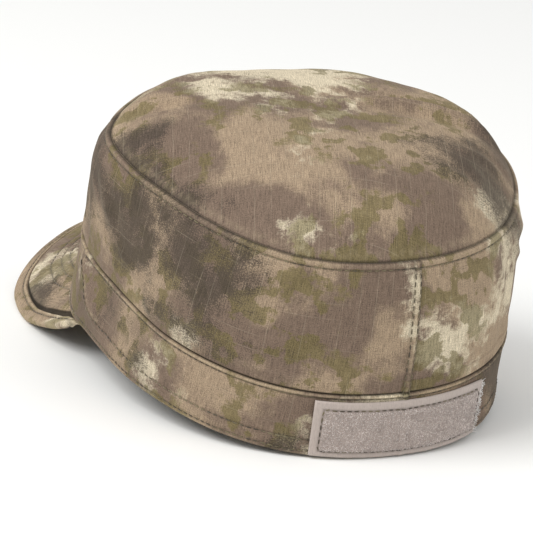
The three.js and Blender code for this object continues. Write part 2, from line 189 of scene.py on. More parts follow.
# How the hem's upper row of stitches climbs beside the peak: bearing away from the back, and rise
# as a share of the band's height. Past the last row of the table it has met the band's upper seam.
HEM_ROW = (
    (0, 0.25),
    (30, 0.25),
    (60, 0.26),
    (80, 0.27),
    (91, 0.29),
    (97, 0.34),
    (101, 0.41),
    (106, 0.58),
    (111, 0.86),
)


@dataclass(frozen=True)
class Oval:
    """One seam line, as a plain oval in millimetres."""

    length: float
    width: float
    set_back: float
    squareness: float


@dataclass(frozen=True)
class Fold:
    """A soft ridge, or a hollow where its push is negative.

    Height and reach are shares up the crown's side, or inwards over its top. Spread is in degrees,
    push in millimetres, and lean in degrees of bearing for each whole height.
    """

    bearing: float
    spread: float
    height: float
    reach: float
    push: float
    lean: float = 0.0


def bell(distance: np.ndarray, spread: float) -> np.ndarray:
    """A swell that is 1 at its middle and fades over its spread."""
    return np.exp(-0.5 * (distance / spread) ** 2)


def ease(value: np.ndarray, low: float, high: float) -> np.ndarray:
    """A smooth step from 0 at low to 1 at high."""
    share = np.clip((value - low) / (high - low), 0, 1)
    return share * share * (3 - 2 * share)


def turned(bearing: np.ndarray) -> np.ndarray:
    """Bearings as -180 to 180 degrees from the back."""
    return np.mod(np.asarray(bearing, float) + HALF, TURN) - HALF


def fold_push(folds: tuple[Fold, ...], bearing: np.ndarray, height: np.ndarray) -> np.ndarray:
    """Sums the folds at some places.

    Args:
        folds: the folds.
        bearing: degrees round the head.
        height: shares up or inwards, of the same shape.

    Returns:
        The push out of the cloth, in millimetres.
    """
    total = np.zeros(np.broadcast(bearing, height).shape)
    for fold in folds:
        away = turned(bearing - fold.bearing - fold.lean * (height - fold.height))
        total = total + fold.push * bell(away, fold.spread) * bell(height - fold.height, fold.reach)
    return total


@dataclass(frozen=True)
class Crease:
    """A sharp fold along a path on a cloth, with a soft hollow beside it.

    The path holds bearings and shares, width and push are in millimetres.
    """

    path: tuple[tuple[float, float], ...]
    width: float
    push: float
    hollow: float = 0.35

    def at(self, spots: np.ndarray, path: np.ndarray) -> np.ndarray:
        """How far the crease pushes the cloth out.

        Args:
            spots: places on the flat cloth, in millimetres.
            path: the crease's own path there.

        Returns:
            The push in millimetres.
        """
        nearest = np.full(spots.shape[:-1], np.inf)
        fade = np.ones(nearest.shape)
        for index, (start, end) in enumerate(zip(path[:-1], path[1:])):
            run = end - start
            share = np.clip(((spots - start) @ run) / (run @ run), 0, 1)
            distance = np.linalg.norm(spots - start - share[..., None] * run, axis=-1)
            along = (index + share) / (len(path) - 1)
            fade = np.where(distance < nearest, np.sin(math.pi * (0.06 + 0.88 * along)) ** 0.7, fade)
            nearest = np.minimum(nearest, distance)
        profile = bell(nearest, self.width) - self.hollow * bell(nearest - 2.4 * self.width, self.width)
        return self.push * profile * fade


@dataclass(frozen=True)
class ClothNoise:
    """Smooth seeded noise over a cloth, in millimetres, that may close on itself round the cap."""

    seed: int
    cell_along: float
    cell_up: float
    loop: float = 0.0
    lattice: int = 64
    gain: float = 1.6

    def at(self, along: np.ndarray, upwards: np.ndarray) -> np.ndarray:
        """Reads the noise.

        Args:
            along: millimetres along the cloth.
            upwards: millimetres up it, of the same shape.

        Returns:
            Values from about -1 to 1.
        """
        count = max(2, round(self.loop / self.cell_along)) if self.loop else self.lattice
        cell = self.loop / count if self.loop else self.cell_along
        angles = np.random.default_rng(self.seed).uniform(0, 2 * math.pi, (count, self.lattice))
        x, y = np.broadcast_arrays(along / cell, upwards / self.cell_up)
        left, low = np.floor(x).astype(int), np.floor(y).astype(int)
        total = np.zeros(x.shape)
        for step_x in (0, 1):
            for step_y in (0, 1):
                far_x, far_y = x - left - step_x, y - low - step_y
                angle = angles[(left + step_x) % count, (low + step_y) % self.lattice]
                weight = ease(1 - np.abs(far_x), 0, 1) * ease(1 - np.abs(far_y), 0, 1)
                total += weight * (np.cos(angle) * far_x + np.sin(angle) * far_y)
        return total * self.gain


def unit(vectors: np.ndarray) -> np.ndarray:
    """The same directions at length 1."""
    return vectors / np.maximum(np.linalg.norm(vectors, axis=-1, keepdims=True), 1e-12)


def surface_normal(face: Surface, first: np.ndarray, second: np.ndarray, steps: Span) -> np.ndarray:
    """The direction that points out of a surface.

    Args:
        face: a function of two places that gives the surface's points.
        first: the first places.
        second: the second places.
        steps: a small step in each.

    Returns:
        Unit vectors, along the second direction crossed with the first.
    """
    across = face(first + steps[0], second) - face(first - steps[0], second)
    up = face(first, second + steps[1]) - face(first, second - steps[1])
    return unit(np.cross(up, across))


@dataclass(frozen=True)
class CapForm:
    """The cap's driving sizes in millimetres, and the smooth forms that follow from them."""

    rim: Oval = Oval(208.5, 164.3, 1.4, 2.14)
    band: Oval = Oval(194.7, 162.8, 5.3, 2.13)
    top: Oval = Oval(166.6, 168.2, 11.5, 2.04)
    foot_arch: float = 9.4
    band_height: float = 29.6
    band_rise_to_front: float = 8.9
    side_height: float = 51.7
    dome_rise: float = 22.5
    dome_fullness: float = 3.8
    side_belly: float = 2.2
    band_cloth: float = 2.0
    side_cloth: float = 1.6
    top_cloth: float = 1.5
    sewn_gap: float = 0.3

    def ring(self, seam: Seam, bearing: np.ndarray) -> np.ndarray:
        """Points of a seam line.

        Args:
            seam: which line.
            bearing: degrees round the head.

        Returns:
            Points in the cap's frame.
        """
        oval = {Seam.RIM: self.rim, Seam.BAND: self.band, Seam.TOP: self.top}[seam]
        angle = np.radians(bearing)
        across = np.abs(np.sin(angle) / (oval.width / 2)) ** oval.squareness
        along = np.abs(np.cos(angle) / (oval.length / 2)) ** oval.squareness
        radius = AROUND.at(seam.value, bearing) / (across + along) ** (1 / oval.squareness)
        x = radius * np.sin(angle)
        y = oval.set_back + radius * np.cos(angle)
        if seam is Seam.RIM:
            z = self.foot_arch * AROUND.at("foot", bearing)
        elif seam is Seam.BAND:
            z = self.band_height - self.band_rise_to_front * (y - self.band.set_back) / self.band.length
        else:
            z = self.band_height + self.side_height * (1 + AROUND.at("lift", bearing))
        return np.stack([x, y, z], axis=-1)

    def outward(self, seam: Seam, bearing: np.ndarray, step: float = 0.5) -> np.ndarray:
        """The level directions that point out of a seam line."""
        run = self.ring(seam, bearing + step) - self.ring(seam, bearing - step)
        return unit(np.stack([-run[..., 1], run[..., 0], np.zeros(run.shape[:-1])], axis=-1))

    def wall(
        self, low: Seam, high: Seam, bearing: np.ndarray, rise: np.ndarray, push: np.ndarray
    ) -> np.ndarray:
        """Points of a wall between two seam lines.

        Args:
            low: the lower line.
            high: the upper line.
            bearing: degrees round the head.
            rise: shares of the way up.
            push: millimetres out of the wall.

        Returns:
            Points in the cap's frame.
        """
        share = np.asarray(rise)[..., None]
        foot, head = self.ring(low, bearing), self.ring(high, bearing)
        out_low, out_high = self.outward(low, bearing), self.outward(high, bearing)
        normal = unit(out_low + (out_high - out_low) * share)
        return foot + (head - foot) * share + normal * np.asarray(push)[..., None]


FORM = CapForm()
ROUND_MM = 560.0
# Cloth is longer than its plan, as it swells and folds.
FULLNESS = 1.04
# Degrees between the points that a row of stitches follows round the cap.
ROW_STEP = 0.4


@dataclass(frozen=True)
class CapRest:
    """How the cap rests: its tilt and its place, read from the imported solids."""

    tilt: float
    shift: np.ndarray

    @staticmethod
    def from_frame() -> "CapRest":
        """Reads the tilt from the seat's axis, and the place from the band's box.

        Returns:
            The tilt and the place.
        """
        seat = next(mount for mount in frame["record"]["mounts"] if mount["name"] == "rim_seat")
        tilt = math.asin(seat["axis"][1])
        bearing = np.arange(0, TURN, 2.0)
        rows = np.array([0.0, 0.34, 0.62, 1.0])
        push = FORM.band_cloth * np.array([-0.2, 0.02, 0.2, -0.25])
        grid = FORM.wall(Seam.RIM, Seam.BAND, bearing[:, None], rows[None, :], push[None, :])
        spun = CapRest(tilt, np.zeros(3)).place(grid.reshape(-1, 3)) / MM
        low, high = (np.array(corner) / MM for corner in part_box("band"))
        shift = (low + high) / 2 - (spun.min(0) + spun.max(0)) / 2
        shift[2] = low[2] - spun[:, 2].min()
        return CapRest(tilt, shift)

    def turn(self, vectors: np.ndarray) -> np.ndarray:
        """Directions in the cap's frame, turned to how it rests.

        Args:
            vectors: directions in the cap's frame.

        Returns:
            The turned directions.
        """
        cosine, sine = math.cos(self.tilt), math.sin(self.tilt)
        x, y, z = vectors[..., 0], vectors[..., 1], vectors[..., 2]
        return np.stack([x, y * cosine - z * sine, y * sine + z * cosine], axis=-1)

    def place(self, points: np.ndarray) -> np.ndarray:
        """Points in the cap's frame, in metres where the cap rests."""
        return (self.turn(points) + self.shift) * MM


REST = CapRest.from_frame()


@dataclass
class ClothGrid:
    """A sheet of cloth between two matched grids of points, made into one closed mesh.

    The grids are stations by rows. A looped sheet joins its last station to its first, and a pole
    closes the last row into one point. The pattern holds millimetres over the flat cloth, with one
    more station than the points where the sheet is looped. Shade is painted shade, 1 on open cloth
    and 0 deep in a seam, where the finish darkens the colour; wear is 1 on a rubbed ridge, and
    reverse is 1 on the cloth's unprinted side, which the inner grid is unless the print shows on
    both sides.
    """

    name: str
    outer: np.ndarray
    inner: np.ndarray
    pattern: np.ndarray
    shade: np.ndarray
    wear: np.ndarray
    looped: bool = False
    pole: bool = False
    both_printed: bool = False

    def build(self) -> bpy.types.Object:
        """Makes the mesh object, with its cloth coordinates and its shade, wear and reverse.

        Returns:
            The object.
        """
        stations, rows = self.outer.shape[:2]
        last = rows - 1
        kept = np.ones((stations, rows), bool)
        kept[1:, last] = not self.pole
        number = np.cumsum(kept.ravel()).reshape(stations, rows) - 1
        if self.pole:
            number[1:, last] = number[0, last]
        count = int(kept.sum())
        steps = stations if self.looped else stations - 1
        found: list[tuple] = []

        def patch(station: np.ndarray, row: np.ndarray, places: tuple[tuple[int, int, int], ...]) -> None:
            """Adds a family of faces, whose corners are (side, station step, row step).

            Args:
                station: the faces' stations.
                row: their rows.
                places: their corners.
            """
            vertices = [
                number[(station + ahead) % stations, row + up] + side * count for side, ahead, up in places
            ]
            spots = [self.pattern[station + ahead, row + up] for _, ahead, up in places]
            found.append((np.stack(vertices, axis=-1), np.stack(spots, axis=1)))

        open_rows = last - 1 if self.pole else last
        station, row = (part.ravel() for part in np.mgrid[0:steps, 0:open_rows])
        patch(station, row, ((0, 0, 0), (0, 0, 1), (0, 1, 1), (0, 1, 0)))
        patch(station, row, ((1, 0, 0), (1, 1, 0), (1, 1, 1), (1, 0, 1)))
        station = np.arange(steps)
        foot, head = np.zeros(steps, int), np.full(steps, last)
        patch(station, foot, ((1, 0, 0), (0, 0, 0), (0, 1, 0), (1, 1, 0)))
        if self.pole:
            patch(station, head - 1, ((0, 0, 0), (0, 0, 1), (0, 1, 0)))
            patch(station, head - 1, ((1, 0, 0), (1, 1, 0), (1, 0, 1)))
        else:
            patch(station, head, ((0, 0, 0), (1, 0, 0), (1, 1, 0), (0, 1, 0)))
        if not self.looped:
            row = np.arange(last)
            start, end = np.zeros(last, int), np.full(last, stations - 1)
            patch(start, row, ((0, 0, 0), (1, 0, 0), (1, 0, 1), (0, 0, 1)))
            patch(end, row, ((1, 0, 0), (0, 0, 0), (0, 0, 1), (1, 0, 1)))

        points = np.vstack([self.outer[kept], self.inner[kept]])
        faces = [face for vertices, _ in found for face in vertices.tolist()]
        corners = np.concatenate([spots.reshape(-1, 2) for _, spots in found])
        mesh = bpy.data.meshes.new(self.name)
        mesh.from_pydata(REST.place(points).tolist(), [], faces)
        mesh.polygons.foreach_set("use_smooth", np.ones(len(mesh.polygons), bool))
        layer = mesh.uv_layers.new(name="cloth")
        layer.data.foreach_set("uv", corners.astype(np.float32).ravel())
        unprinted = np.full(count, 0.0 if self.both_printed else 1.0)
        values = {
            "shade": np.concatenate([self.shade[kept], np.maximum(self.shade[kept], unprinted)]),
            "wear": np.concatenate([self.wear[kept], np.zeros(count)]),
            "reverse": np.concatenate([np.zeros(count), unprinted]),
        }
        for name, value in values.items():
            attribute = mesh.attributes.new(name, "FLOAT", "POINT")
            attribute.data.foreach_set("value", value.astype(np.float32))
        mesh.update()
        piece = bpy.data.objects.new(self.name, mesh)
        bpy.context.scene.collection.objects.link(piece)
        return piece


def graded(length: float, fine: float, coarse: float, reach: float) -> np.ndarray:
    """Places along a length, close together near both of its ends.

    Args:
        length: the whole length in millimetres.
        fine: the spacing near the ends.
        coarse: the spacing in the middle.
        reach: how far from an end the spacing stays fine.

    Returns:
        Shares from 0 to 1.
    """
    near = np.arange(0, reach, fine)
    middle = np.linspace(reach, length - reach, max(2, round((length - 2 * reach) / coarse)))
    return np.concatenate([near, middle, length - near[::-1]]) / length


def even_bearings(count: int) -> np.ndarray:
    """Bearings all round the head, from the edge of the back seam."""
    return np.arange(count) * TURN / count - BACK_SEAM.half_turn


def looped_pattern(along: np.ndarray, upwards: np.ndarray) -> np.ndarray:
    """Cloth coordinates of a looped sheet, whose last station is its first one a whole turn on.

    Args:
        along: millimetres along the cloth at each station, and the whole length last.
        upwards: millimetres up the cloth at each row.

    Returns:
        Pairs of coordinates, stations by rows.
    """
    return np.stack(np.broadcast_arrays(along[:, None], upwards[None, :]), axis=-1)


@dataclass
class StitchRow:
    """One row of machine stitches: the points that it follows and the way out of the cloth."""

    points: np.ndarray
    normals: np.ndarray
    closed: bool = False


def stitched(face: Surface, first: np.ndarray, second: np.ndarray, closed: bool = False) -> StitchRow:
    """A row of stitches along a path on a surface.

    Args:
        face: a function of two places that gives the surface's points.
        first: the path's first places.
        second: the path's second places.
        closed: whether the row meets its own start.

    Returns:
        The row, with the way out of the cloth at each point.
    """
    normals = surface_normal(face, first, second, (0.25, 0.008))
    return StitchRow(face(first, second), normals, closed)


@dataclass(frozen=True)
class FelledSeam:
    """The flat felled seam down the back: a raised strip with a row of stitches at each side."""

    width: float = 3.9
    height: float = 0.45
    puff: float = 0.4
    row_offset: float = 1.35
    edge: float = 0.4
    radius: float = 100.0
    # How strongly the painted shade beside the strip and along its rows darkens the cloth.
    painted_shade_strength: float = 0.95

    @property
    def half_turn(self) -> float:
        """Half of its width, in degrees of bearing."""
        return math.degrees(self.width / 2 / self.radius)

    @property
    def row_turn(self) -> float:
        """How far its stitches lie from its middle, in degrees of bearing."""
        return math.degrees(self.row_offset / self.radius)

    def push(self, bearing: np.ndarray) -> np.ndarray:
        """How far it stands out of the cloth, in millimetres.

        Args:
            bearing: degrees round the head.

        Returns:
            Values in millimetres.
        """
        away = np.abs(np.radians(turned(bearing))) * self.radius
        plateau = self.height * (1 - ease(away, self.width / 2 - self.edge, self.width / 2 + 0.05))
        puff = self.puff * bell(away, 0.6)
        dimple = 0.22 * bell(away - self.row_offset, 0.35)
        groove = 0.25 * bell(away - self.width / 2 - 0.4, 0.3)
        return plateau + puff - dimple - groove

    def dark(self, bearing: np.ndarray) -> np.ndarray:
        """How much painted shade darkens its sides and its rows of stitches, from 0 to 1.

        Args:
            bearing: degrees round the head.

        Returns:
            Values from 0 to 1.
        """
        away = np.abs(np.radians(turned(bearing))) * self.radius
        side, row = away - self.width / 2 - 0.2, away - self.row_offset
        return np.maximum(0.6 * bell(side, 0.25), 0.9 * bell(row, 0.24))


BACK_SEAM = FelledSeam()


@dataclass
class CrownSide:
    """The tall side of the crown, between the band's seam and the ridge of the top's seam."""

    stations: int = 660
    length: float = 53.0
    ridge: float = 2.3
    ridge_swell: float = 0.25
    roll: float = 0.55
    loose_places: Span = (110.0, 305.0)
    folds: tuple[Fold, ...] = (
        Fold(114, 14, 0.78, 0.2, 2.3),
        Fold(84, 6, 0.5, 0.3, -1.0),
        Fold(62, 9, 0.12, 0.16, 1.0),
        Fold(28, 16, 0.6, 0.3, -0.8),
        Fold(342, 8, 0.7, 0.2, 0.8),
        Fold(322, 7, 0.35, 0.3, -1.1),
        Fold(304, 11, 0.84, 0.14, 1.8),
        Fold(205, 14, 0.5, 0.3, -1.0),
    )
    creases: tuple[Crease, ...] = (
        Crease(((92, 0.44), (86, 0.31), (78, 0.27), (70, 0.26)), 1.1, 0.75),
        Crease(((106, 0.9), (100, 0.72), (94, 0.5), (91, 0.3)), 2.4, 0.8),
        Crease(((115, 0.85), (110, 0.6), (104, 0.4)), 2.6, -0.7),
        Crease(((98, 0.32), (90, 0.16), (80, 0.08)), 1.6, 0.6),
        Crease(((279, 0.6), (292, 0.72), (304, 0.8)), 2.2, 0.9),
        Crease(((300, 0.55), (310, 0.7), (319, 0.93)), 1.8, 0.8),
        Crease(((322, 0.5), (327, 0.72), (330, 0.92)), 1.9, 0.6),
        Crease(((336, 0.35), (341, 0.2), (350, 0.1)), 1.7, 0.5),
        Crease(((40, 0.9), (47, 0.74), (50, 0.6)), 1.8, 0.5),
        Crease(((150, 0.8), (163, 0.62), (175, 0.58)), 2.6, 0.9),
        Crease(((200, 0.3), (214, 0.42), (226, 0.4)), 2.6, 0.8),
        Crease(((236, 0.86), (243, 0.6), (241, 0.36)), 2.4, 0.8),
    )
    broad: ClothNoise = ClothNoise(3, 40, 34, ROUND_MM)
    upright: ClothNoise = ClothNoise(11, 13, 90, ROUND_MM)
    fine: ClothNoise = ClothNoise(17, 15, 13, ROUND_MM)
    top_pucker: ClothNoise = ClothNoise(21, 7.5, 16, ROUND_MM)
    foot_pucker: ClothNoise = ClothNoise(23, 8.5, 18, ROUND_MM)

    def drape(self, bearing: np.ndarray, rise: np.ndarray) -> np.ndarray:
        """How the cloth swells and folds between its seams, in millimetres.

        Args:
            bearing: degrees round the head.
            rise: shares of the way up.

        Returns:
            Values in millimetres.
        """
        arc, up = bearing / TURN * ROUND_MM, rise * self.length
        free = 4 * rise * (1 - rise)
        loose = 0.35 + 0.65 * sum(bell(turned(bearing - place), 24) for place in self.loose_places)
        wrinkle = 0.5 * self.broad.at(arc, up) + 0.3 * self.fine.at(arc, up)
        wrinkle = wrinkle + 0.75 * loose * self.upright.at(arc, up)
        folds = fold_push(self.folds, bearing, rise)
        spots = np.stack([turned(bearing - HALF) / TURN * ROUND_MM, up], axis=-1)
        for crease in self.creases:
            turns, shares = np.array(crease.path, float).T
            path = np.stack([turned(turns - HALF) / TURN * ROUND_MM, shares * self.length], axis=-1)
            folds = folds + crease.at(spots, path)
        return FORM.side_belly * free + (folds + wrinkle) * np.minimum(1, 2 * free)

    def push(self, bearing: np.ndarray, rise: np.ndarray) -> np.ndarray:
        """How far the outer face lies out of the plain wall, in millimetres.

        Args:
            bearing: degrees round the head.
            rise: shares of the way up.

        Returns:
            Values in millimetres.
        """
        arc, up = bearing / TURN * ROUND_MM, rise * self.length
        low, high = up, self.length - up
        tuck = -1.0 * np.maximum(0, 1 - low / 1.2) ** 2
        crest = self.ridge_swell * np.sin(math.pi * np.clip(high / self.ridge, 0, 1)) ** 0.7
        inward = np.clip(1 - high / self.roll, 0, 1)
        roll = -1.25 * (1 - np.sqrt(1 - inward**2))
        sewn = -0.35 * bell(high - self.ridge - 0.25, 0.42)
        gather = 0.6 * self.top_pucker.at(arc, up) * ease(high, 2.2, 4.2) * np.exp(-high / 10)
        gather = gather + 0.6 * self.foot_pucker.at(arc, up) * ease(low, 0.4, 2) * np.exp(-low / 9)
        bulge = 0.22 * bell(low - 4, 2.2)
        seam = BACK_SEAM.push(bearing) * ease(high, 0.5, 2.5)
        return self.drape(bearing, rise) + tuck + crest + roll + sewn + gather + bulge + seam

    def face(self, bearing: np.ndarray, rise: np.ndarray) -> np.ndarray:
        """Points of the outer face."""
        return FORM.wall(Seam.BAND, Seam.TOP, bearing, rise, self.push(bearing, rise))

    def build(self) -> bpy.types.Object:
        """Makes the crown's side.

        Returns:
            The object.
        """
        bearings = even_bearings(self.stations)
        rises = graded(self.length, 0.36, 1.5, 5.4)
        bearing, rise = np.meshgrid(bearings, rises, indexing="ij")
        outer = self.face(bearing, rise)
        inside = self.drape(bearing, rise) - FORM.side_cloth
        inner = FORM.wall(Seam.BAND, Seam.TOP, bearing, rise, inside)
        high, low = self.length * (1 - rise), self.length * rise
        # Painted shade: the colour darkens in the seam grooves at the foot and under the crest, along the row
        # of stitches below the ridge and beside the back seam.
        shade = ease(low, 0.42, 0.98) * ease(high, -0.05, 0.22)
        shade = shade * (1 - 0.6 * bell(high - self.ridge - 0.25, 0.24))
        shade = shade * (1 - BACK_SEAM.painted_shade_strength * BACK_SEAM.dark(bearing))
        wear = 0.35 * bell(high - 1.0, 0.6)
        wear = wear + 0.8 * bell(np.abs(np.radians(turned(bearing))) * BACK_SEAM.radius, 0.5)
        along = np.linspace(0, ROUND_MM, self.stations + 1)
        return ClothGrid(
            "crown_side_cloth",
            outer,
            inner,
            looped_pattern(along, rises * self.length),
            shade,
            wear,
            looped=True,
        ).build()

    def rows(self) -> list[StitchRow]:
        """The topstitching under the ridge, and the two rows of the back seam.

        Returns:
            The rows.
        """
        bearing = np.arange(0, TURN, ROW_STEP)
        rise = np.full(bearing.shape, 1 - (self.ridge + 0.25) / self.length)
        found = [stitched(self.face, bearing, rise, closed=True)]
        for side in (-1, 1):
            rise = np.linspace(0.015, 1 - (self.ridge + 0.3) / self.length, 80)
            found.append(stitched(self.face, np.full(rise.shape, side * BACK_SEAM.row_turn), rise))
        return found


@dataclass
class CrownTop:
    """The domed top panel, sewn in just inside the ridge of the side."""

    stations: int = 600
    inset: float = 1.0
    sink: float = 0.65
    radius: float = 82.0
    folds: tuple[Fold, ...] = (
        Fold(171, 14, 0.2, 0.14, -2.4),
        Fold(193, 11, 0.26, 0.14, -1.3),
        Fold(208, 16, 0.24, 0.12, 1.0),
        Fold(146, 16, 0.14, 0.08, 1.8),
        Fold(255, 20, 0.14, 0.08, 3.1),
        Fold(305, 20, 0.2, 0.1, 1.0),
        Fold(55, 18, 0.3, 0.14, -1.6),
        Fold(350, 24, 0.34, 0.14, 1.0),
        Fold(178, 24, 0.3, 0.16, -1.0),
    )
    creases: tuple[Crease, ...] = (
        Crease(((212, 0.84), (240, 0.74), (256, 0.62), (266, 0.42), (272, 0.22), (278, 0.08)), 3.2, 2.6, 0.8),
        Crease(((116, 0.36), (115, 0.2), (119, 0.07), (112, 0.0)), 2.2, 2.2, 0.8),
        Crease(((130, 0.32), (150, 0.36), (168, 0.42)), 3.0, 0.9),
        Crease(((352, 0.14), (345, 0.1), (336, 0.03)), 1.4, 0.8),
        Crease(((8, 0.2), (0, 0.1), (356, 0.02)), 1.6, 0.6),
        Crease(((328, 0.3), (322, 0.14), (318, 0.03)), 1.9, 0.9),
        Crease(((305, 0.34), (300, 0.2), (299, 0.05)), 2.0, 0.8),
        Crease(((30, 0.18), (34, 0.1), (35, 0.02)), 1.6, 0.6),
        Crease(((62, 0.16), (60, 0.08), (57, 0.01)), 1.7, 0.6),
        Crease(((88, 0.22), (84, 0.1), (83, 0.02)), 1.8, 0.7),
        Crease(((20, 0.62), (350, 0.52), (325, 0.56)), 4.0, 0.7),
        Crease(((70, 0.55), (95, 0.5), (118, 0.6)), 4.0, 0.7),
    )
    broad: ClothNoise = ClothNoise(43, 42, 42)
    fine: ClothNoise = ClothNoise(47, 17, 17)
    pucker: ClothNoise = ClothNoise(41, 8.5, 22, ROUND_MM)

    def plain(self, bearing: np.ndarray, share: np.ndarray) -> tuple[np.ndarray, np.ndarray]:
        """The panel's edge at some bearings, and points straight from there to its middle.

        Args:
            bearing: degrees round the head.
            share: shares of the way inwards from the edge.

        Returns:
            The edge's points, and the points at the shares.
        """
        edge = FORM.ring(Seam.TOP, bearing) - FORM.outward(Seam.TOP, bearing) * self.inset
        middle = np.array([0.0, FORM.top.set_back, FORM.band_height + FORM.side_height])
        return edge, edge + (middle - edge) * share[..., None]

    def face(self, bearing: np.ndarray, share: np.ndarray) -> np.ndarray:
        """Points of the upper face.

        Args:
            bearing: degrees round the head.
            share: shares of the way from the panel's edge to its middle.

        Returns:
            Points in the cap's frame.
        """
        edge, point = self.plain(bearing, share)
        middle = np.array([0.0, FORM.top.set_back, FORM.band_height + FORM.side_height])
        distance = share * self.radius
        level = edge[..., 2] + (middle[2] - edge[..., 2]) * (1 - (1 - share) ** 2)
        swell = FORM.dome_rise * (1 - np.abs(1 - share) ** FORM.dome_fullness)
        fade = 1 - (1 - np.minimum(1, share / 0.1)) ** 2
        arc = bearing / TURN * ROUND_MM
        x, y = point[..., 0], point[..., 1]
        wrinkle = 0.75 * self.broad.at(x, y) + 0.3 * self.fine.at(x, y)
        gather = 0.6 * self.pucker.at(arc, distance) * ease(distance, 0.5, 3) * np.exp(-distance / 11)
        folds = fold_push(self.folds, bearing, share) * fade * (1 - share**4)
        for crease in self.creases:
            turns, shares = np.array(crease.path, float).T
            folds = folds + crease.at(point[..., :2], self.plain(turns, shares)[1][:, :2]) * fade
        sunk = -self.sink * (1 - ease(distance, 0, 1.6)) - 0.25 * bell(distance - 1.9, 0.8)
        z = level + swell + folds + wrinkle * fade + gather + sunk
        return np.concatenate([point[..., :2], z[..., None]], axis=-1)

    def build(self) -> bpy.types.Object:
        """Makes the top panel.

        Returns:
            The object.
        """
        bearings = even_bearings(self.stations)
        near = np.array([0.0, 0.35, 0.7, 1.05, 1.4, 1.8, 2.3, 2.9, 3.6, 4.4, 5.4, 6.5, 7.8, 9.2, 10.8])
        shares = np.concatenate([near / self.radius, np.linspace(12.5 / self.radius, 0.985, 40), [1.0]])
        bearing, share = np.meshgrid(bearings, shares, indexing="ij")
        outer = self.face(bearing, share)
        inner = outer - np.array([0, 0, FORM.top_cloth])
        flat = np.concatenate([outer[..., :2], outer[:1, :, :2]]) * FULLNESS
        distance = share * self.radius
        # Painted shade: the colour darkens in the groove where the panel sinks under the side's ridge.
        shade = ease(distance, 0.45, 0.95)
        wear = 0.35 * bell(distance - 2.2, 0.8)
        return ClothGrid(
            "crown_top_cloth", outer, inner, flat, shade, wear, looped=True, pole=True
        ).build()


